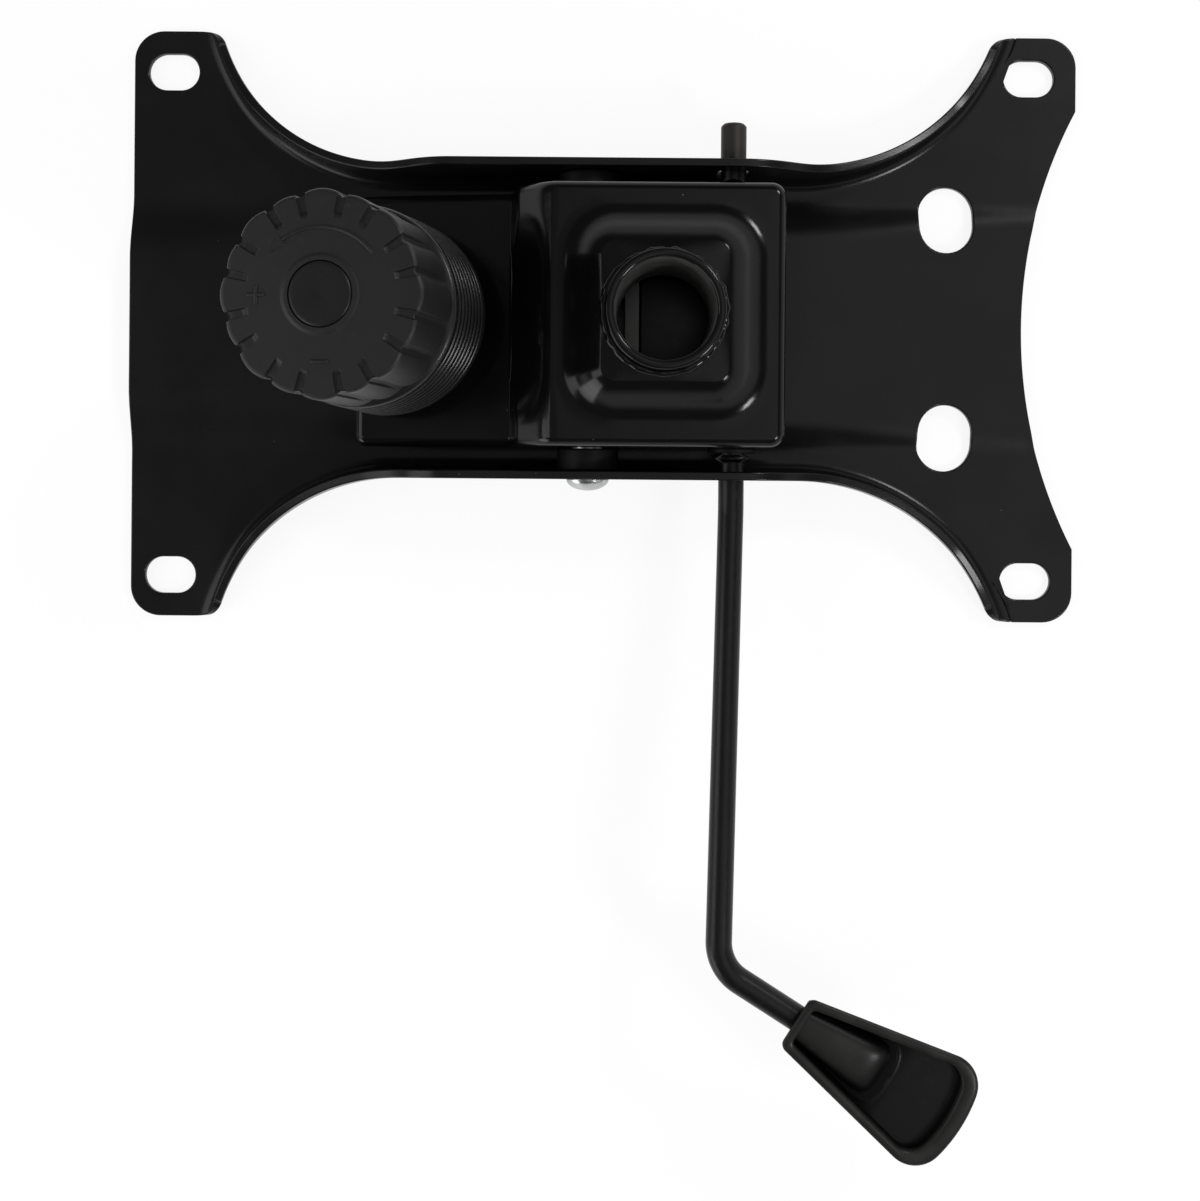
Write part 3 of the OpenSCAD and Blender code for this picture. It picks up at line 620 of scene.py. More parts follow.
print("cut edges are rounded where faces turn by more than", np.degrees(CUT_EDGE_ANGLE).round(), "degrees")

# %% [markdown]
# The seat plate is one pressing: four flat ears with slots, a shallow channel down the middle, and two
# flanges turned up along the waist. The skin below is the side that meets the seat. Flat and channel are
# one cut sheet; each flange is a bend and a wall carried along an arc, a straight and an arc. The plate's
# lines come first, because the sheet's edge and the flanges have to share them.

# %% Seat plate: lines
SHEET = 2.5
WAIST = 46.3
EAR_Y = 88.6
EAR_R = 9.0
PLATE_FRONT, PLATE_REAR = -141.5, 143.8
FRONT_X, FRONT_R = -59.7, 57.0
REAR_X, REAR_R = 59.3, 62.7
HOLLOW_X, HOLLOW_R = 271.6, 144.0
BEND_R = 6.5
ARC_STEPS, RUN_STEPS = 56, 62


def flange_path(inset, short=0.0):
    """Plan points along a flange at each distance inside its outer face: front arc, straight, rear arc.
    Each row ends that much short of an ear's outer edge. One row per distance."""
    d = np.reshape(inset, (-1, 1)).astype(float)
    share = np.linspace(0, 1, ARC_STEPS)
    end_y = EAR_Y - np.reshape(short, (-1, 1))
    front_from = np.pi + np.arcsin((WAIST + FRONT_R - end_y) / (FRONT_R + d))
    rear_to = 2 * np.pi - np.arcsin((WAIST + REAR_R - end_y) / (REAR_R + d))
    front = front_from + (1.5 * np.pi - front_from) * share
    rear = 1.5 * np.pi + (rear_to - 1.5 * np.pi) * share
    run = np.linspace(FRONT_X, REAR_X, RUN_STEPS)[1:-1] + 0 * d
    x = [FRONT_X + (FRONT_R + d) * np.cos(front), run, REAR_X + (REAR_R + d) * np.cos(rear)]
    y = [WAIST + FRONT_R + (FRONT_R + d) * np.sin(front), WAIST - d + 0 * run,
         WAIST + REAR_R + (REAR_R + d) * np.sin(rear)]
    return np.concatenate(x, 1), np.concatenate(y, 1)


bend_x, bend_y = (line[0] for line in flange_path(BEND_R))
hollow_y = np.sqrt(HOLLOW_R ** 2 - (HOLLOW_X - PLATE_REAR) ** 2)
hollow = np.degrees(np.arcsin(hollow_y / HOLLOW_R))
half_edge = np.concatenate([
    np.stack([np.full(24, PLATE_FRONT), np.linspace(0, EAR_Y - EAR_R, 24)], -1)[:-1],
    arc((PLATE_FRONT + EAR_R, EAR_Y - EAR_R), EAR_R, 180, 90, 12),
    np.stack([np.linspace(PLATE_FRONT + EAR_R, bend_x[0], 9), np.full(9, EAR_Y)], -1)[1:-1],
    np.stack([bend_x, bend_y], -1),
    np.stack([np.linspace(bend_x[-1], PLATE_REAR - EAR_R, 7), np.full(7, EAR_Y)], -1)[1:-1],
    arc((PLATE_REAR - EAR_R, EAR_Y - EAR_R), EAR_R, 90, 0, 12),
    np.stack([np.full(6, PLATE_REAR), np.linspace(EAR_Y - EAR_R, hollow_y, 6)], -1)[1:-1],
    arc((HOLLOW_X, 0), HOLLOW_R, 180 - hollow, 180, 28)])
plate_edge = np.concatenate([half_edge, half_edge[-2:0:-1] * [1, -1]])
print("plate outline:", len(plate_edge), "points,", np.ptp(plate_edge, 0), "mm")

# %% [markdown]
# A press gives the sheet its heights. The flanges stand tall along the waist, where they carry the pivot, and
# run out low and rounded at the ears. The channel stiffens the middle: its slopes are crisp at the rear and
# soft towards the front. Each is a formula of the plan, so it can be asked for all points at once.

# %% Seat plate: heights
BALL_X = -56.08
TIP_R, TIP_LEAN, TIP_SHARE, TIP_WALL = 3.0, 0.27, 0.6, 2.2
CHANNEL, CHANNEL_HALF, CHANNEL_SLOPE, FILLET = 4.0, 36.0, 9.0, 1.3


def tip_short(inset, z):
    """How far a flange's end stays short of the ear's edge: a corner of TIP_R seen from above, and a lean
    back with height."""
    off = np.clip(TIP_R - inset, 0, None)
    return TIP_R - np.sqrt(TIP_R ** 2 - off ** 2) + TIP_LEAN * z


def flange_height(x):
    """Height of a flange's edge: straight rises between stations, averaged over 14 mm to round them."""
    stations = [-125, -98, -62, -50, 48, 64, 100, 125]
    heights = [7, 11, 20, 30, 30, 20, 11, 7]
    return np.interp(x[..., None] + np.linspace(-7, 7, 29), stations, heights).mean(-1)


def flange_fade(x):
    """Share of the flange's height that is left near the ears: six tenths at its tips, all of it from 14 mm
    inwards."""
    return TIP_SHARE + (1 - TIP_SHARE) * ramp(0, 14, np.minimum(x + 115, 119 - x))


def channel(x, y):
    """Height of the plate's lower skin: 0 on the ears and CHANNEL in the channel. The slope between them runs
    inwards from CHANNEL_HALF with round fillets. Towards the front it is wider and softer, and towards the
    rear edge the channel gets shallower. A ring is pressed up round the bolt's ball."""
    deep = CHANNEL * (1 - 0.75 * ramp(52, 132, x))
    slope = (CHANNEL_HALF - np.abs(y)) * CHANNEL / CHANNEL_SLOPE
    crisp = soft_min(soft_max(slope, 0 * y, FILLET), deep, FILLET)
    soft = CHANNEL * (1 - ramp(19, 39, np.abs(y)))
    floor = crisp + (soft - crisp) * ramp(58, 96, -x)
    return floor + 4.5 * (1 - ramp(9.2, 13.4, np.hypot(x - BALL_X, y)))


middle = np.zeros(1)
print("flange at the waist:", flange_height(middle)[0], "mm tall; channel", channel(middle, middle)[0], "mm")

# %% [markdown]
# Now the flat is cut with its slots and ovals, close rows of points are laid where it bends, and the heights
# lift it. The straight walls are cut sheets too, stood on edge, because each has a slot for the lever's rod.
# The shells share the points along their seams, so welding them gives one skin.

# %% Seat plate: pressing
SEAT_SLOT_AT, SEAT_SLOT = np.array([129.5, 76.2]), (15.2, 11)
OVAL_AT, OVAL = np.array([104.5, 33]), (16.3, 20)
BALL_HOLE_R = 7
ROD_SLOT_AT, ROD_SLOT = (39.1, 16.3), (9, 16.4)
ROW_BESIDE, PLATE_EDGE_R = 1.5, 0.5


def seat_plate_shells():
    """The cut and pressed sheet, then for each side the bend (a quarter circle), the walls of both arcs
    as grids, and the straight wall as a cut sheet stood on edge, with the slot for the rod."""
    sides = (-1, 1)
    holes = [long_hole(SEAT_SLOT_AT * (a, b), SEAT_SLOT) for a in sides for b in sides]
    holes += [long_hole(OVAL_AT * (1, b), OVAL) for b in sides]
    holes.append(arc((BALL_X, 0), BALL_HOLE_R, 0, 352.5, 48))
    slope = np.concatenate([np.linspace(-39.5, -18, 26), np.linspace(18, 39.5, 26)])
    rings = np.concatenate([arc((BALL_X, 0), r, 3, 355.5, 48) for r in np.linspace(8, 15, 12)])
    coarse, ear_rows = np.arange(-139, 143, 6.0), np.arange(84, 41, -6.0)
    plain = np.concatenate([mesh_points(np.arange(-139, 143, 4.0), slope),
                            mesh_points(coarse, np.arange(-15, 16, 6.0)),
                            mesh_points(coarse, -ear_rows), mesh_points(coarse, ear_rows)])
    plain = plain[np.hypot(plain[:, 0] - BALL_X, plain[:, 1]) > 16]
    beside_cuts = [beside(loop, ROW_BESIDE) for loop in [plate_edge] + holes[:-1]]
    plan, faces = cut_sheet(plate_edge, holes, np.concatenate([plain, rings] + beside_cuts), 1.3)
    shells = [(np.column_stack([plan, channel(plan[:, 0], plan[:, 1])]), faces)]

    turn = np.radians(np.linspace(0, 90, 10))[:, None]
    inset, rise = BEND_R * (1 - np.sin(turn)), BEND_R * (1 - np.cos(turn))
    x, y = flange_path(inset, tip_short(inset, rise * TIP_SHARE))
    bend = np.stack([x, y, rise * flange_fade(x)], -1)
    share = np.array([0, 0.35, 1])[:, None]
    x, y = flange_path(0 * share, tip_short(0 * share, (BEND_R + TIP_WALL * share) * TIP_SHARE))
    top = np.maximum(flange_height(x), BEND_R + TIP_WALL)
    wall = np.stack([x, y, (BEND_R + (top - BEND_R) * share) * flange_fade(x)], -1)
    first, last = ARC_STEPS - 1, ARC_STEPS + RUN_STEPS - 2
    run = wall[:, first:last + 1][:, :, [0, 2]]
    frame_line = np.concatenate([run[0], run[1:, -1], run[-1, -2::-1], run[-2:0:-1, 0]])
    slot = long_hole(ROD_SLOT_AT, ROD_SLOT)
    fill = np.concatenate([mesh_points(np.arange(-58, 59, 3.0), np.arange(8, 30, 3.0)),
                           beside(frame_line[::-1], ROW_BESIDE), beside(slot, ROW_BESIDE)])
    flat, flat_faces = cut_sheet(frame_line, [slot], fill, 1.2)
    stood = np.column_stack([flat[:, 0], np.full(len(flat), WAIST), flat[:, 1]])
    for side in sides:
        flip = np.array([1, side, 1])
        shells += [grid_shell(part * flip) for part in (bend, wall[:, :first + 1], wall[:, last:])]
        shells.append((stood * flip, flat_faces))
    return shells


seat_plate = make_piece("seat_plate_pressed", seat_plate_shells(), "plate", "seat_plate",
                        satin_black, faces_up=-1)
thicken(seat_plate, SHEET, PLATE_EDGE_R, clamped=False)

# %% [markdown]
# The tilt bracket is a deep-drawn tray, upside down: a leaning floor under the knob, a steep step, a box
# face with a raised rounded-square boss, and a wall all round. Its floor is a cut sheet whose height is
# a formula with soft fillets; its wall is a quarter-round and a straight carried round the outline. A box
# with bevels would be quicker, but here the fillets run into one another, which soft minimums do evenly.

# %% Tilt bracket: heights
BOX_Z, BOSS_Z = 46.0, 55.0
STEP_X, STEP_TOP_X = -25.4, -14.3
SOCKET_X, SOCKET_R = 18.6, 16.6
BRACKET_HALF, BRACKET_REAR, BRACKET_FRONT = 37.0, 52.5, -72.0
EDGE_R = 3.0
RISER_SLOPE, END_SLOPE = 5.5, 1.15
BOSS_HALF, BOSS_R, BOSS_RUN = np.array([26.6, 28.35]), 13.0, 8.4


def boss_depth(x, y):
    """How far a plan point lies inside the boss's rounded-square foot, in mm; negative outside."""
    out = np.abs(np.stack([x - SOCKET_X, y], -1)) - (BOSS_HALF - BOSS_R)
    return BOSS_R - np.linalg.norm(np.maximum(out, 0), axis=-1) - np.minimum(out.max(-1), 0)


def bracket_height(x, y):
    """Outer height of the bracket: leaning floor, step and box face joined by fillets, plus the boss's
    ramp, which rises with the distance inside its foot. The step is a plane between its foot and the box's
    edge. Near the side walls that plane is flatter and stands on a short riser, as drawing leaves it."""
    floor = BOLT_Z + (x - BOLT_X) * np.tan(LEAN)
    foot = BOLT_Z + (STEP_X - BOLT_X) * np.tan(LEAN)
    middle_slope = (BOX_Z - foot) / (STEP_TOP_X - STEP_X)
    slope = middle_slope + (END_SLOPE - middle_slope) * ramp(13, 31, np.abs(y))
    step = soft_min(foot + (x - STEP_X) * RISER_SLOPE, BOX_Z - (STEP_TOP_X - x) * slope, 2.0)
    box = soft_min(soft_max(floor, step, 1.6), BOX_Z + 0 * x, 3.5)
    rise = BOSS_Z - BOX_Z
    boss = soft_min(soft_max(boss_depth(x, y) * rise / BOSS_RUN, 0 * x, 4.0), rise + 0 * x, 4.6)
    return box + boss


def rim_height(x):
    """Height of the tray's open rim along its length, with rounded changes."""
    stations, heights = [-62, -16, 6, 30, 46], [9.3, 6, 6, 12.5, 17]
    return np.interp(x[..., None] + np.linspace(-4, 4, 17), stations, heights).mean(-1)


def rounded_loop(low, high, radii, along_x, along_y):
    """A rectangle with round corners, from its lower left corner round to the left: points, and the
    direction outwards at each. radii are for the low-X and the high-X corners."""
    near, far = radii
    corner = [((low[0] + near, low[1] + near), near, 180), ((high[0] - far, low[1] + far), far, 270),
              ((high[0] - far, high[1] - far), far, 0), ((low[0] + near, high[1] - near), near, 90)]
    points, out = [], []
    for (middle, r, start), line in zip(corner, (along_x, along_y, along_x[::-1], along_y[::-1])):
        bend = arc(middle, r, start, start + 90, 11)
        face = arc((0, 0), 1, start + 90, start + 90, 1)
        run = np.array([line, np.full(len(line), bend[-1, 1])]).T
        if start in (270, 90):
            run = np.array([np.full(len(line), bend[-1, 0]), line]).T
        points += [bend, run]
        out += [arc((0, 0), 1, start, start + 90, 11), np.repeat(face, len(line), 0)]
    return np.concatenate(points), np.concatenate(out)


boss_top = bracket_height(np.array([34.0]), np.array([0.0]))[0]
print("boss top at", boss_top.round(2), "mm")

# %% [markdown]
# Floor and wall meet along one outline, a rectangle with small corners, whose points lie close together at
# the step. Round the boss, the floor's points follow rings of its rounded square, so that its fillets come
# out smooth. The wall then goes down from the outline: a quarter circle, and a straight to the open rim.

# %% Tilt bracket: pressing
BOLT_HOLE_R, BRACKET_EDGE_R = 6.2, 0.3
step_lines = np.concatenate([np.arange(-33, -27, 1.0), np.arange(-27, -21, 0.4), np.arange(-21, -9, 0.7)])
stations = np.concatenate([np.arange(-67, -34, 2.5), step_lines, np.arange(-8, 47, 2.5)])
across = np.arange(-31.2, 32, 2.6)
shoulder, outward = rounded_loop((BRACKET_FRONT + EDGE_R, -BRACKET_HALF + EDGE_R),
                                 (BRACKET_REAR - EDGE_R, BRACKET_HALF - EDGE_R),
                                 (0.5, 1.2), stations, across)


def bracket_shells():
    """The floor as a cut sheet with the holes for socket and bolt, then the wall: a quarter circle down
    from the floor's edge, and a straight to the rim, which leans in below the front edge."""
    holes = [arc((SOCKET_X, 0), SOCKET_R + 0.02, 0, 356.25, 96),
             arc((BOLT_X, 0), BOLT_HOLE_R, 0, 350, 36)]
    grid = np.concatenate([mesh_points(np.arange(-66, -34, 4.0), np.arange(-32, 33, 4.0)),
                           mesh_points(step_lines, np.linspace(-33.2, 33.2, 41)),
                           mesh_points(np.arange(-8, 49, 2.5), np.arange(-32.5, 33, 2.5))])
    grid = grid[boss_depth(grid[:, 0], grid[:, 1]) < -3.2]
    rings = []
    for depth in np.arange(-2.8, 9.3, 0.4):
        (hx, hy), r = BOSS_HALF - depth, BOSS_R - depth
        along_x = np.linspace(SOCKET_X - hx + r, SOCKET_X + hx - r, 15)[1:-1]
        along_y = np.linspace(r - hy, hy - r, 17)[1:-1]
        rings.append(rounded_loop((SOCKET_X - hx, -hy), (SOCKET_X + hx, hy), (r, r), along_x, along_y)[0])
    plan, faces = cut_sheet(shoulder, holes, np.concatenate([grid] + rings), 0.35)
    floor = np.column_stack([plan, bracket_height(plan[:, 0], plan[:, 1])])

    turn = np.radians(np.linspace(0, 90, 10))[:, None, None]
    plan_rows = shoulder + outward * EDGE_R * np.sin(turn)
    top = bracket_height(shoulder[:, 0], shoulder[:, 1])
    bend = np.concatenate([plan_rows, (top - EDGE_R * (1 - np.cos(turn[..., 0])))[..., None]], -1)
    share = np.linspace(0, 1, 12)[:, None]
    edge = bend[-1]
    down = (rim_height(edge[:, 0]) - edge[:, 2]) * share
    lean = -down * np.tan(LEAN) * np.clip(-outward[:, 0], 0, 1) * (edge[:, 0] < 0)
    wall = np.stack([edge[:, 0] + lean, edge[:, 1] + 0 * down, edge[:, 2] + down], -1)
    return [(floor, faces), grid_shell(bend, True), grid_shell(wall, True)]


tilt_bracket = make_piece("tilt_bracket_pressed", bracket_shells(), "bracket", "tilt_bracket",
                          gloss_black, faces_up=1)
thicken(tilt_bracket, SHEET, BRACKET_EDGE_R, clamped=True)

# %% [markdown]
# Round parts are turned: a profile of radius and height carried round an axis. Real turned parts have no
# razor edges, so each corner of a profile is first replaced by a short curve. Blender's Screw modifier can
# turn a drawn line too. Worked out as arrays, a part is closed and in its place, on a leaning axis as well.

# %% Turning
def eased(corners, reach, closed=True):
    """A profile with each corner replaced by a curve that starts and ends reach mm from it, or a little
    under half of a shorter side: (1-k)^2 A + 2k(1-k) C + k^2 B. An open profile keeps its two ends."""
    here = np.array(corners, float)
    k = np.linspace(0, 1, 6)[None, :, None]
    ends = []
    for other in (np.roll(here, 1, 0), np.roll(here, -1, 0)):
        side = other - here
        length = np.linalg.norm(side, axis=1, keepdims=True)
        ends.append((here + side * np.minimum(reach, 0.45 * length) / length)[:, None])
    curves = (1 - k) ** 2 * ends[0] + 2 * k * (1 - k) * here[:, None] + k ** 2 * ends[1]
    if closed:
        return curves.reshape(-1, 2)
    return np.concatenate([here[:1], curves[1:-1].reshape(-1, 2), here[-1:]])


def turned(profile, foot, axis, count=96):
    """Carries a profile of (radius, height) round an axis from foot, a ring of points for each of its
    points, and joins its end to its start."""
    axis = np.array(axis, float) / np.linalg.norm(axis)
    first = np.cross(axis, [0.0, 1.0, 0.0] if abs(axis[1]) < 0.9 else [1.0, 0.0, 0.0])
    first /= np.linalg.norm(first)
    second = np.cross(axis, first)
    turn = np.linspace(0, 2 * np.pi, count, endpoint=False)[None, :, None]
    ring = np.cos(turn) * first + np.sin(turn) * second
    closed = np.concatenate([profile, profile[:1]])[:, None]
    return grid_shell(np.array(foot) + closed[..., 1:] * axis + closed[..., :1] * ring, True)


print("lathe ready")

# %% [markdown]
# The socket is a turned tube with a slow taper inside, pressed through the boss and welded round. The
# weld is a small rope of overlapping drops: a ring whose thickness ripples as it goes round, and more so
# on one side. The ripples are sines that fit the turn a whole number of times, so the ring has no seam. The
# paint covers all of it but the bore, which stays bare steel to grip the lift.

# %% Gas lift socket
MOUTH_Z, THROAT_Z = 60.0, 24.0
MOUTH_R, THROAT_R = 13.9, 13.1
WELD_Z, WELD_R = 55.4, 1.25


def painted_but_bored(name, bore_r_mm):
    """Gloss black paint, and dull turned steel wherever the distance from the socket's axis is under the
    bore's radius."""
    made, shader, place = start_finish(name, Specular_IOR_Level=0.22)
    x, y = place.part("X") - SOCKET_X * MM, place.part("Y")
    bore = (x * x + y * y).step(((bore_r_mm + 0.25) * MM) ** 2, ((bore_r_mm - 0.05) * MM) ** 2)
    smears = place.noise(6, 4)
    colour = bore.mix(grey(0.0024), smears.step(0.3, 0.7).mix(grey(0.05, 0.03), grey(0.075, 0.03)))
    feed(shader, Base_Color=colour, Roughness=0.12 + bore * 0.26 + (smears - 0.5) * 0.08,
         Normal=place.noise(2.4, 4).bump(0.02))
    return made


def weld_ring(middle_r, z, thick, count=360, sides=18):
    """A ring whose thickness swells a little with the drops: sines at 19, 31 and 5 waves a turn, stronger
    on the side where the bead was started. It is laid a little off the axis, towards -X and -Y."""
    turn = np.linspace(0, 2 * np.pi, count, endpoint=False)[None, :]
    girth = np.linspace(0, 2 * np.pi, sides + 1)[:, None]
    uneven = 0.35 + 0.65 * np.clip(np.cos(turn - 1.0), 0, 1)
    drops = 0.22 * np.sin(19 * turn + 1.8 * np.sin(2 * turn)) + 0.13 * np.sin(31 * turn + 1.1 + girth)
    drops = 1 + uneven * drops + 0.08 * np.sin(5 * turn + 0.4)
    laid = middle_r - 0.3 * np.cos(turn) - 0.45 * np.sin(turn) + 0.10 * np.sin(3 * turn)
    r = laid + thick * drops * np.cos(girth)
    rise = z + 0.9 * thick * drops * np.sin(girth)
    return grid_shell(np.stack([SOCKET_X + r * np.cos(turn), r * np.sin(turn), rise], -1), True)


socket_finish = painted_but_bored("socket_paint_and_bore", MOUTH_R)
socket_profile = eased([(SOCKET_R, THROAT_Z), (SOCKET_R, MOUTH_Z), (MOUTH_R, MOUTH_Z), (THROAT_R, THROAT_Z)],
                       1.2)
make_piece(
    "gas_lift_socket_welded",
    [turned(socket_profile, (SOCKET_X, 0, 0), (0, 0, 1), 144), weld_ring(SOCKET_R, WELD_Z, WELD_R)],
    "bracket", "gas_lift_socket", socket_finish)

# %% [markdown]
# The pivot pin crosses both flanges and carries the whole chair. Its head is a shallow dome, its other
# end takes a push-on ring, and a dark bush keeps the bracket central on each side. The lever's rod has two
# smaller bushes. Cylinders with bevels would look nearly the same, but turned profiles give the dome and all
# the rounded edges in one go, and left and right are one profile on axes that point opposite ways.

# %% Pivot and bushes
PIVOT = np.array([-3.0, 0.0, 16.0])
PIN_R, PIN_HOLE_R, HEAD_R, HEAD_TALL = 5, 5.06, 6.25, 3.3
PIN_END = WAIST + 1.4
PIVOT_BUSH_FROM = 37.3
ROD_X, ROD_Z, ROD_R = 39.1, 20.0, 3.75
dome = arc((0, 0), 1, -90, -4, 16) * [HEAD_R, HEAD_TALL] - [0, WAIST]
shank = eased([(HEAD_R, -WAIST - 0.2), (HEAD_R, -WAIST), (PIN_R, -WAIST), (PIN_R, PIN_END), (0, PIN_END)],
              0.6, closed=False)
make_piece("pivot_pin_domed", [turned(np.concatenate([dome, shank]), PIVOT, (0, 1, 0), 64)], "plate",
           "pivot_pin", zinc_plate)
ring_profile = eased([(PIN_HOLE_R, 0), (7.5, 0), (7.5, 0.8), (6.6, 1.2), (PIN_HOLE_R, 1.2)], 0.3)
ring_foot = PIVOT + [0, WAIST, 0]
make_piece("pivot_retainer_ring", [turned(ring_profile, ring_foot, (0, 1, 0), 64)], "plate",
           "pivot_retainer", zinc_plate)
bush_profile = eased([(PIN_HOLE_R, 0), (9, 0), (9, 6.5), (PIN_HOLE_R, 6.5)], 0.7)
rod_bush_profile = eased([(3.81, -3.5), (5.98, -3.5), (5.98, 0), (7, 0), (7, 1.3), (3.81, 1.3)], 0.35)
for side, hand in ((1, "left"), (-1, "right")):
    bush_foot = PIVOT + [0, side * PIVOT_BUSH_FROM, 0]
    make_piece(f"pivot_bush_{hand}_turned", [turned(bush_profile, bush_foot, (0, side, 0), 64)],
               "plate", f"pivot_bush_{hand}", bush_nylon)
    rod_bush_foot = (ROD_X, side * BRACKET_HALF, ROD_Z)
    make_piece(f"rod_bush_{hand}_turned", [turned(rod_bush_profile, rod_bush_foot, (0, side, 0), 64)],
               "bracket", f"rod_bush_{hand}", bush_nylon)

# %% [markdown]
# The tension knob has two zones, and both stand on the bolt's axis, which leans forward. The skirt is round
# and ribbed, so a profile turned round that axis is enough. The ribs are grooves in the profile: rings
# stacked on a tube would leave hidden faces inside the wall.

# %% Tension knob: skirt
BOLT_AXIS = np.array([-np.sin(LEAN), 0.0, np.cos(LEAN)])
BOLT_SIDE = np.array([np.cos(LEAN), 0.0, np.sin(LEAN)])
BOLT_FOOT = np.array([BOLT_X, 0.0, BOLT_Z])
SKIRT_FOOT, SKIRT_R, SKIRT_TAPER, SKIRT_BORE = 12.0, 28.6, 1.0, 25.0
RIB_PITCH, RIB_DEPTH = 3.2, 0.6


def skirt_profile():
    """Round the foot, up the ribs (smooth grooves RIB_DEPTH deep every RIB_PITCH), in over the crease, and
    back down the inside wall."""
    height = np.linspace(SKIRT_FOOT + 0.9, CREASE - 1.2, 190)
    from_groove = np.abs(np.mod(height - SKIRT_FOOT - 0.55, RIB_PITCH) - RIB_PITCH / 2) - RIB_PITCH / 2
    groove = (1 - ramp(0.3, 0.9, np.abs(from_groove))) * (height > SKIRT_FOOT + 2) * (height < CREASE - 2.4)
    taper = SKIRT_R - SKIRT_TAPER * (height - SKIRT_FOOT) / (CREASE - 1 - SKIRT_FOOT)
    return np.concatenate([arc((27.7, SKIRT_FOOT + 0.85), 0.85, -90, -5, 7),
                           np.stack([taper - RIB_DEPTH * groove, height], -1),
                           [(27.4, CREASE - 0.7), (26.9, CREASE - 0.3), (26.3, CREASE - 0.05),
                            (23.5, CREASE + 0.4), (23.5, CREASE - 0.4), (SKIRT_BORE, CREASE - 2),
                            (SKIRT_BORE, SKIRT_FOOT + 0.4), (SKIRT_BORE + 0.4, SKIRT_FOOT)]])


print("skirt profile:", len(skirt_profile()), "points")

# %% [markdown]
# The grip has eight broad lobes with narrow ones between them, and a notch at each side of a lobe. So its
# radius and its face height both depend on the angle: each is a formula of angle and place along the profile.
# A turned profile could not give that, and cutting the notches out of one would leave ragged edges.

# %% Tension knob: grip
FACE, CAP_R = 72.0, 8.5
LOBE_SPAN, BROAD_R, NARROW_R = 25.0, 27.2, 26.7
NOTCH_HALF, NOTCH_DEPTH, NOTCH_FROM_R = 1.15, 0.9, 20.2
EDGE_ROUND = 1.1


def grip_angles():
    """Angles round the grip, in radians, close together at the edges of the notches."""
    side = np.array([0.8, 1.8, 2.2, 2.42, 2.6, 2.78, 3.0, 3.4, 4.0])
    notch = np.concatenate([-side[::-1], [0], side])
    lobe = np.concatenate([notch - LOBE_SPAN / 2, np.linspace(-8, 8, 14), notch + LOBE_SPAN / 2,
                           np.linspace(17.5, 27.5, 9)])
    return np.radians((np.arange(8)[:, None] * 45 + lobe).ravel())[None, :]


def on_knob(turn, r, t):
    """Points at angle turn, radius r and height t in the knob's own frame."""
    ring = np.cos(turn)[..., None] * BOLT_SIDE + np.sin(turn)[..., None] * np.array([0.0, 1.0, 0.0])
    return BOLT_FOOT + t[..., None] * BOLT_AXIS + r[..., None] * ring


def grip_points():
    """Rows up the side, over the round edge, in across the face, and back through the inside.
    Radius: broad and narrow lobes swell in turn as parabolas of angle, to BROAD_R and NARROW_R. A notch
    cuts into side and face between them, and fades out down the side. A low ring on the face frames the
    cap."""
    turn = grip_angles()
    flat = 0 * turn
    half_lobe = LOBE_SPAN / 2
    off = np.degrees(np.mod(turn + np.pi / 8, np.pi / 4) - np.pi / 8)
    broad = BROAD_R - 1.2 * (off / half_lobe) ** 2
    narrow = NARROW_R - 0.8 * ((22.5 - np.abs(off)) / (22.5 - half_lobe)) ** 2
    swell = broad + (narrow - broad) * ramp(half_lobe - 0.5, half_lobe + 0.5, np.abs(off))
    off_notch = np.radians(np.abs(np.abs(off) - half_lobe)) * 24.5
    notch = 1 - ramp(NOTCH_HALF - 0.14, NOTCH_HALF + 0.14, off_notch)
    t = np.concatenate([[CREASE - 0.6], np.linspace(CREASE, FACE - EDGE_ROUND, 26)])[:, None]
    foot = 1 - ramp(CREASE - 0.2, CREASE + 1.8, t)
    side_r = swell - 0.9 * foot - 0.5 * notch * ramp(CREASE + 5, CREASE + 17, t) - 0.3 * (t - CREASE) / 30
    bend = np.radians(np.linspace(0, 90, 7)[1:])[:, None]
    edge_r = side_r[-1:] - EDGE_ROUND * (1 - np.cos(bend))
    edge_t = FACE - EDGE_ROUND * (1 - np.sin(bend)) - NOTCH_DEPTH * notch * ramp(0.2, 1.0, np.sin(bend))
    share = np.concatenate([np.linspace(0.02, 0.27, 6), [0.29, 0.31, 0.33, 0.35, 0.37, 0.40],
                            np.linspace(0.46, 0.86, 6), np.linspace(0.88, 1, 10)])
    face_r = edge_r[-1:] + (CAP_R + 0.1 - edge_r[-1:]) * share[:, None]
    face_t = FACE - NOTCH_DEPTH * notch * ramp(NOTCH_FROM_R - 0.4, NOTCH_FROM_R + 0.4, face_r)
    face_t = face_t + 0.35 * (1 - ramp(9.6, 10.6, face_r))
    room = np.array([(8.6, 71.6), (8.6, 70), (6, 70), (6, 47.2), (9.8, 47.2), (9.8, 38.8), (14.2, 38.8),
                     (14.2, 22), (16.4, 22), (16.4, 67.5), (22.4, 67.5), (22.4, 43), (22.6, CREASE - 0.6)])
    r = np.concatenate([side_r, edge_r, face_r, room[:, :1] + flat, side_r[:1]])
    t = np.concatenate([t + flat, edge_t, face_t, room[:, 1:] + flat, t[:1] + flat])
    return on_knob(turn + 0 * r, r, t)


print("grip:", grip_points().shape[0], "rows of", grip_points().shape[1], "points")

# %% [markdown]
# The face has plain raised marks for the way to turn: a curved arrow, a plus and a minus. Each is a few
# half-round strokes laid on the face, and an arrowhead is a stroke that narrows along its length. They are
# part of the same moulding, so they go into the knob's mesh.

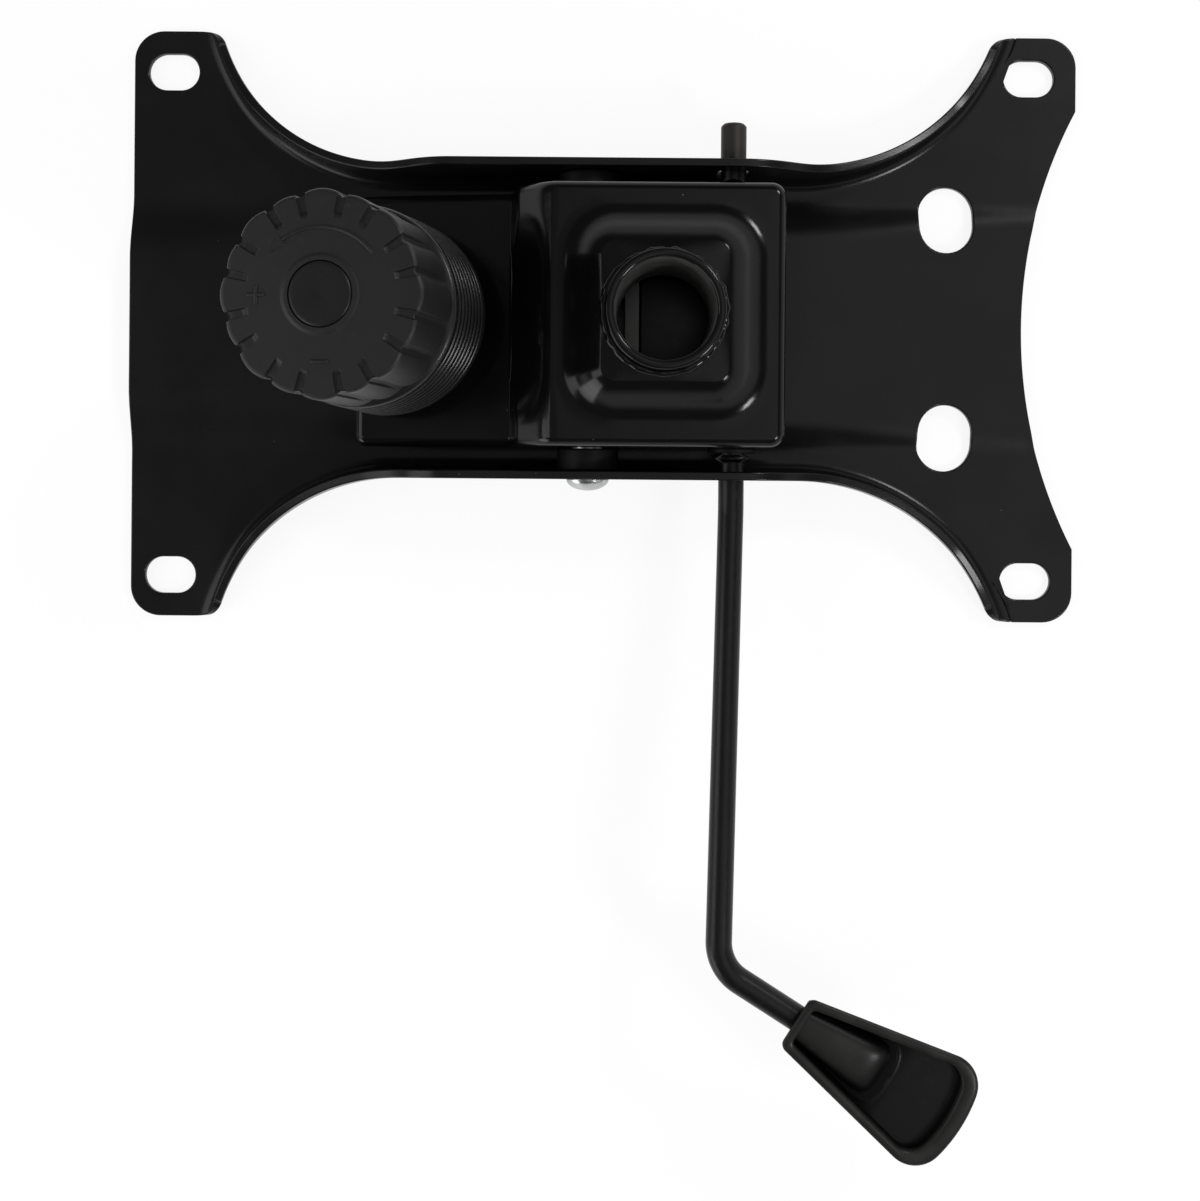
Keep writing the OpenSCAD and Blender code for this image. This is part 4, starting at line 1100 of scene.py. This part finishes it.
# %% Tension knob: marks
STROKE, STROKE_TALL, ARROW_HEAD = 1.2, 0.45, 4.6


def raised_stroke(angles, radii, width, height, taper=0.0):
    """A low rounded stroke on the face: a half-round profile carried from one angle and radius to another.
    It narrows to nothing at both ends, or evenly along its length where taper is 1."""
    k = (1 - np.cos(np.linspace(0, np.pi, 41)))[:, None] / 2
    turn, radius = np.radians(angles[0] + (angles[1] - angles[0]) * k), radii[0] + (radii[1] - radii[0]) * k
    line = np.concatenate([radius * np.cos(turn), radius * np.sin(turn)], 1)
    way = np.gradient(line, axis=0)
    way /= np.linalg.norm(way, axis=1, keepdims=True)
    ends = 1 - np.abs(2 * k - 1) ** 24
    across = np.linspace(-1, 1, 9)[None, :]
    shift = across * width / 2 * (1 - taper * k) * np.sqrt(ends)
    lift = FACE - 0.15 + (height + 0.15) * np.sqrt(1 - across ** 2) * ends
    x = line[:, :1] - shift * way[:, 1:]
    y = line[:, 1:] + shift * way[:, :1]
    skin = on_knob(np.arctan2(y, x), np.hypot(x, y), lift)
    return grid_shell(np.concatenate([skin, skin[:, :1]], 1))


plain_marks = [raised_stroke((35, 128), (17, 17), STROKE, STROKE_TALL),
               raised_stroke((126, 141), (17, 17), ARROW_HEAD, STROKE_TALL, taper=1.0),
               raised_stroke((180, 180), (14.5, 19.5), STROKE, STROKE_TALL),
               raised_stroke((171.6, 188.4), (17.1, 17.1), STROKE, STROKE_TALL),
               raised_stroke((261.6, 278.4), (17.1, 17.1), STROKE, STROKE_TALL)]
make_piece(
    "tension_knob_moulded",
    [turned(skirt_profile(), BOLT_FOOT, BOLT_AXIS, 160), grid_shell(grip_points(), True)] + plain_marks,
    "knob", "tension_knob", knob_plastic, sharp=55)

# %% [markdown]
# A round plug closes the hole over the nut. It is pressed in, so a fine gap shows round it, and its face
# stands a little proud with a soft edge. It is one more turned profile. The face is dished by a tenth of a
# millimetre, as a moulding sinks when it cools, because a truly flat disc looks lifeless.

# %% Knob cap
CAP_FACE, CAP_HOLLOW = FACE + 0.6, 0.12
cap_edge = eased([(0, 66), (5.95, 66), (5.95, 70), (8.4, 70), (8.4, FACE + 0.15), (7.8, CAP_FACE),
                  (6.9, CAP_FACE)], 0.3, closed=False)
cap_face = np.stack([np.linspace(6.6, 0, 12), CAP_FACE - CAP_HOLLOW * np.linspace(0, 1, 12) ** 2], -1)
cap_profile = np.concatenate([cap_edge, cap_face])
make_piece("knob_cap_plug", [turned(cap_profile, BOLT_FOOT, BOLT_AXIS, 96)], "knob", "knob_cap",
           cap_plastic)

# %% [markdown]
# The lever's rod is one length of round bar, bent twice and pinched beside the bracket's walls so that it
# can't slide out. Its path is straights joined by arcs, and the bar's section is carried along it. A curve
# with a round bevel could give the bends, but not the pinches, which squeeze the section flat and wide. So
# its two half sizes are worked out along the path.

# %% Lever rod
HANDLE_AT = np.array([56.4, -196.5, 40.0])
HANDLE_TURN = np.radians(-32.4)
HANDLE_WAY = np.array([np.cos(HANDLE_TURN), np.sin(HANDLE_TURN), 0.0])
ROD_TIP_Y, BEND_Y, BEND_RADII = 58.0, -55.0, (30.0, 12.5)
PINCH_Y, PINCH_WIDER, PINCH_FLATTER = 39.9, 1.8, 1.3


def bent_path(corners, bends, straight_steps, bend_steps):
    """Points and directions along straights joined by arcs of given radius. An arc leaves each straight
    at radius times tan of half the turn before the corner."""
    corners = np.array(corners, float)
    ways = np.diff(corners, axis=0)
    ways /= np.linalg.norm(ways, axis=1, keepdims=True)
    points, heads, at = [], [], corners[0]
    for corner, a, b, r in zip(corners[1:-1], ways, ways[1:], bends):
        turn = np.arccos(a @ b)
        start = corner - a * r * np.tan(turn / 2)
        inward = (b - a * (a @ b)) / np.linalg.norm(b - a * (a @ b))
        k = np.linspace(0, 1, straight_steps)[:-1, None]
        points.append(at + (start - at) * k)
        heads.append(a + 0 * points[-1])
        swing = np.linspace(0, turn, bend_steps)[:, None]
        points.append(start + r * (np.sin(swing) * a + (1 - np.cos(swing)) * inward))
        heads.append(np.cos(swing) * a + np.sin(swing) * inward)
        at = points[-1][-1]
    k = np.linspace(0, 1, straight_steps)[1:, None]
    points.append(at + (corners[-1] - at) * k)
    heads.append(ways[-1] + 0 * points[-1])
    return np.concatenate(points), np.concatenate(heads)


def bar(points, heads, half_wide, half_tall, sides=32):
    """An ellipse of given half sizes carried along a path, square to it, and closed at its ends."""
    wide = np.cross(heads, [0.0, 0.0, 1.0])
    wide /= np.linalg.norm(wide, axis=1, keepdims=True)
    tall = np.cross(wide, heads)
    wide, tall = wide * half_wide[:, None], tall * half_tall[:, None]
    girth = np.linspace(0, 2 * np.pi, sides, endpoint=False)[None, :, None]
    skin = points[:, None] + np.cos(girth) * wide[:, None] + np.sin(girth) * tall[:, None]
    ends = [np.repeat(p[None, None], sides, 1) for p in (points[0], points[-1])]
    return grid_shell(np.concatenate([ends[0], skin, ends[1]]), True)


rod_line = [(ROD_X, ROD_TIP_Y, ROD_Z), (ROD_X, BEND_Y, ROD_Z),
            HANDLE_AT - 25 * HANDLE_WAY, HANDLE_AT + 26 * HANDLE_WAY]
rod_points, rod_heads = bent_path(rod_line, BEND_RADII, 240, 40)
pinch = 1 - ramp(0.4, 1.2, np.abs(np.abs(rod_points[:, 1]) - PINCH_Y))
pinch = pinch * (np.abs(rod_points[:, 0] - ROD_X) < 0.01)
tip = 0.8 * ramp(ROD_TIP_Y - 0.8, ROD_TIP_Y, rod_points[:, 1])
half_wide, half_tall = ROD_R + PINCH_WIDER * pinch - tip, ROD_R - PINCH_FLATTER * pinch - tip
make_piece("lever_rod_bent", [bar(rod_points, rod_heads, half_wide, half_tall)], "lever", "lever_rod",
           rod_black)

# %% [markdown]
# The lever's handle is a hollow plastic paddle seen from its open side, with a rim that is broad at the far
# end. One outline formula gives both the outside and the pocket: straight sides that flare, a far edge that
# bulges, and corners that touch both. Drawing two outlines by hand would not keep the rim even.

# %% Lever handle: outline
HANDLE_LEN, NEAR_HALF, FAR_HALF = 55.0, 8.0, 19.2
FAR_R, CORNER_R, NEAR_R = 45, 9, 2.5


def handle_outline(start, end, inset, far_r, corner_r, near_r):
    """The paddle seen from above: flaring sides moved in by inset, a far edge of radius far_r, and round
    corners that touch their neighbours. Returns points and outward directions, one turn round."""
    flare = (FAR_HALF - NEAR_HALF) / HANDLE_LEN
    slant = np.hypot(1, flare)
    side = NEAR_HALF - inset * slant
    middle_x = end - far_r
    low = side - corner_r * slant
    b = (flare * low - middle_x) / slant ** 2
    c = (middle_x ** 2 + low ** 2 - (far_r - corner_r) ** 2) / slant ** 2
    corner_x = -b + np.sqrt(b * b - c)
    corner_y = low + flare * corner_x
    near_x = start + near_r
    near_y = side - near_r * slant + flare * near_x
    side_turn = 90 + np.degrees(np.arctan(flare))
    far_turn = np.degrees(np.arctan2(corner_y, corner_x - middle_x))
    runs = [((near_x, near_y), near_r, 180, side_turn, 9),
            ((corner_x, corner_y), corner_r, side_turn, far_turn, 18),
            ((middle_x, 0), far_r, far_turn, 0, 14)]
    half = [arc(middle, r, first, last, n) for middle, r, first, last, n in runs]
    turn = [arc((0, 0), 1, first, last, n) for _, _, first, last, n in runs]
    k = np.linspace(0, 1, 26)[1:-1, None]
    half.insert(1, half[0][-1] + (half[1][0] - half[0][-1]) * k)
    turn.insert(1, np.repeat(turn[0][-1:], len(k), 0))
    half = np.concatenate(half[:-1] + [half[-1][1:]])
    turn = np.concatenate(turn[:-1] + [turn[-1][1:]])
    k = np.linspace(0, 1, 8)[:-1, None]
    near = np.concatenate([start + 0 * k, k * half[0, 1]], 1)
    half = np.concatenate([near, half])
    turn = np.concatenate([np.repeat([[-1.0, 0.0]], len(near), 0), turn])
    flip = np.array([1, -1])
    return np.concatenate([half, half[-2:0:-1] * flip]), np.concatenate([turn, turn[-2:0:-1] * flip])


handle_outer, _ = handle_outline(0, HANDLE_LEN, 0, FAR_R, CORNER_R, NEAR_R)
pocket, pocket_out = handle_outline(start=2.6, end=HANDLE_LEN - 4.9, inset=2.9, far_r=40, corner_r=6.2,
                                    near_r=1.6)
print("handle outline:", len(handle_outer), "points,", np.ptp(handle_outer, 0).round(1), "mm")

# %% [markdown]
# Inside the rim lies a deep pocket round the socket that takes the rod, and a shallower floor beyond it. The
# outside draws in below the rim, as a moulding does so that it leaves its mould. Rings of the outline make
# the outside, the rim and the pocket's wall, and the floor is a cut sheet with heights.

# %% Lever handle: shells
NOSE_HALF, NOSE_X, NOSE_LEN = 8.2, 25.0, 5.4


def handle_floor(x, y):
    """Height of the pocket's floor: deep beside the rod's socket, rising past its nose to a level floor,
    with a fine raised line a little outside the nose."""
    along = np.clip((x - NOSE_X) / (NOSE_LEN + 1.2), 0, None)
    off_nose = (np.cbrt(along ** 3 + (np.abs(y) / (NOSE_HALF + 1.2)) ** 3) - 1) * 8
    line = np.exp(-(off_nose / 0.4) ** 2) * ramp(17, 24, x)
    return -2.5 + 5.2 * ramp(14, 34, x) + 0.3 * line


def at_heights(rings, heights):
    """Rings of plan points, each set to its own height."""
    level = np.broadcast_to(np.reshape(heights, (-1, 1, 1)), rings.shape[:2] + (1,))
    return np.concatenate([rings, level], -1)


def handle_shells():
    """Rings from the lower face up the outside, over the rim and into the pocket. Outside, a ring is the
    outline formula with an inset; on the rim it is a share of the way from outline to pocket. Then the
    lower face and the pocket's floor are cut sheets."""
    drawn_in = [handle_outline(0.75 * d, HANDLE_LEN - d, d, FAR_R - d, CORNER_R - d, max(NEAR_R - d, 0.3))[0]
                for d in (5.4, 4.8, 4.2, 3.5, 2.7, 1.7, 0.7, 0.2)]
    outside = at_heights(np.stack(drawn_in), [-6.5, -6.3, -5.6, -4.4, -2.0, 1.0, 4.4, 5.4])
    share = np.array([0.06, 0.16, 0.34, 0.6, 0.84, 0.95, 1.0])[:, None, None]
    rim = at_heights(handle_outer + (pocket - handle_outer) * share,
                     [5.95, 6.3, 6.48, 6.5, 6.42, 6.15, 5.7])
    foot = pocket - pocket_out * 0.5
    floor_edge = np.column_stack([foot, handle_floor(foot[:, 0], foot[:, 1])])
    inside = np.stack([np.column_stack([pocket - pocket_out * 0.12, floor_edge[:, 2] + 1.0]), floor_edge])
    fine = np.concatenate([mesh_points(np.arange(3, 16, 1.1), np.arange(-9.9, 10, 1.1)),
                           mesh_points(np.arange(16, 34, 0.4), np.arange(-12, 12.1, 0.4)),
                           mesh_points(np.arange(35, 55, 1.3), np.arange(-16.9, 17, 1.3))])
    plan, faces = cut_sheet(foot, [], fine, 0.3)
    floor = np.column_stack([plan, handle_floor(plan[:, 0], plan[:, 1])])
    coarse = mesh_points(np.arange(2, 57, 4.0), np.arange(-16, 17, 4.0))
    plan, lower_faces = cut_sheet(outside[0, :, :2], [], coarse, 1.5)
    lower = np.column_stack([plan, np.full(len(plan), outside[0, 0, 2])])
    return [grid_shell(np.concatenate([outside, rim, inside]), True), (floor, faces), (lower, lower_faces)]


print("floor of the pocket:", handle_floor(np.array([5.0, 45.0]), np.zeros(2)).round(2), "mm, near and far")

# %% [markdown]
# The socket that takes the rod is a low mound on the pocket's floor, widening to a blunt nose. It is one
# grid: stations along the rod, each with half a squarish ellipse across. The handle was worked out in a
# frame of its own, level and pointing along +X, and is turned to its place last, which keeps its formulas
# short.

# %% Lever handle: rod socket
SOCKET_HALF, SOCKET_FROM, SOCKET_FOOT, NOSE_FALLS = 5.3, 2.4, -2.8, 18


def socket_half(x):
    """Half width of the rod's socket: it widens evenly to its blunt nose, which rounds off as the cube
    root of 1 less the cube of the way along it."""
    widening = SOCKET_HALF + (NOSE_HALF - SOCKET_HALF) * np.clip(x / NOSE_X, 0, 1)
    return widening * np.cbrt(1 - np.clip((x - NOSE_X) / NOSE_LEN, 0, 1) ** 3)


def rod_socket():
    """A low mound over the rod's end: half width as above, a height that falls to the floor over the nose
    as a quarter ellipse does, and a section between a half circle and a square."""
    end = NOSE_X + NOSE_LEN
    over = end - (end - NOSE_FALLS) * (1 - np.sin(np.linspace(0, np.pi / 2, 30)))
    x = np.concatenate([np.linspace(SOCKET_FROM, NOSE_FALLS, 14)[:-1], over])[:, None]
    nose = np.sqrt(1 - np.clip((x - NOSE_FALLS) / (end - NOSE_FALLS), 0, 1) ** 3.4)
    half = np.maximum(socket_half(x), 0)
    top = -2.6 + 8.2 * nose
    girth = np.linspace(0, np.pi, 31)[None, :]
    y = half * np.sign(np.cos(girth)) * np.abs(np.cos(girth)) ** 0.6
    z = SOCKET_FOOT + (top - SOCKET_FOOT) * np.sin(girth) ** 0.6
    skin = np.stack([x + 0 * y, y, z], -1)
    skin = np.concatenate([skin, skin[:, :1]], 1)
    cap = np.broadcast_to(np.array([SOCKET_FROM, 0, SOCKET_FOOT]), skin[:1].shape)
    return grid_shell(np.concatenate([cap, skin]))


def on_handle(points):
    """From the handle's own frame to its place: turned about Z, then moved to the rod's end."""
    c, s = np.cos(HANDLE_TURN), np.sin(HANDLE_TURN)
    return points @ np.array([[c, s, 0], [-s, c, 0], [0, 0, 1]]) + HANDLE_AT


placed_shells = [(on_handle(points), faces) for points, faces in handle_shells() + [rod_socket()]]
make_piece("lever_handle_paddle", placed_shells, "lever", "lever_handle", handle_plastic,
           sharp=60)

# %% [markdown] Under the knob sits a coil spring between a cup and a washer. It is wire carried along a
# helix, rounded off at both ends, and it stays in line with the bolt. A Screw modifier could wind it as
# well, but a formula also lets the wire draw in at its ends, which closes the skin.

# %% Tension spring
WIRE_R, COIL_R, TURNS = 2.1, 11.1, 4.5
SPRING_LOW, SPRING_HIGH = 3.9, 33.6


def spring_skin():
    """A circle carried along a helix: at angle a the wire's middle is at COIL_R and rises evenly with a.
    The ends are pulled to points inside the wire's girth."""
    k = np.linspace(0, 1, 289)[:, None]
    turn = 2 * np.pi * TURNS * k
    girth = np.linspace(0, 2 * np.pi, 20, endpoint=False)[None, :]
    wire = WIRE_R * np.sqrt(np.clip(1 - np.abs(2 * k - 1) ** 400, 0, 1))
    r = COIL_R + wire * np.cos(girth)
    t = SPRING_LOW + (SPRING_HIGH - SPRING_LOW) * k + wire * np.sin(girth)
    return on_knob(turn + 0 * r, r, t)


tension_spring = make_piece("tension_spring_coil", [grid_shell(spring_skin(), True)], "bolt",
                            "tension_spring", spring_steel)
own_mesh(tension_spring)

# %% [markdown]
# The tab that presses the lift's valve is a stamped plate with a lower nose coined at its free end, seen at
# the bottom of the socket. A cube with a Bevel modifier would do for a plain plate. The nose is a step in
# the side view, so that outline is carried across the width, drawn in a little at both edges.

# %% Valve tab
TAB_SIDE = [(7.5, 15.5), (38.1, 15.5), (38.1, 18.5), (12.3, 18.5), (12.0, 17.0), (7.5, 16.8)]


def tab_skin():
    """The side view (X, Z) at stations across Y: drawn in a little at the two edges, and
    to a point on the end faces."""
    side_view = eased(TAB_SIDE, 0.3)
    middle = side_view.mean(0)
    y = np.array([-12.5, -12.5, -12.2, 12.2, 12.5, 12.5])[:, None, None]
    keep = np.array([0, 0.98, 1, 1, 0.98, 0])[:, None, None]
    rows = middle + (side_view - middle) * keep
    return np.concatenate([rows[..., :1], y + 0 * rows[..., :1], rows[..., 1:]], -1)


make_piece("valve_tab_stamped", [grid_shell(tab_skin(), True)], "lever", "valve_tab", tab_steel_painted_lit_nose)

# %% [markdown]
# The remaining parts are right as the CAD model has them: hidden washers, nut and bolt, and the rubber
# pads. They only need their finish, because making them again would add faces and nothing that shows.

# %% Finishes for the other CAD parts
plain_parts = {"spring_cup": zinc_plate, "thrust_washer": zinc_plate, "knob_nut": zinc_plate,
               "tension_bolt": zinc_plate, "stop_pad_left": pad_rubber, "stop_pad_right": pad_rubber}
for name, finish in plain_parts.items():
    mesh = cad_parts[name].data
    mesh.materials.clear()
    mesh.materials.append(finish)
print("finished in place:", ", ".join(plain_parts))

# %% [markdown] The dressed model must keep to the CAD model's size.
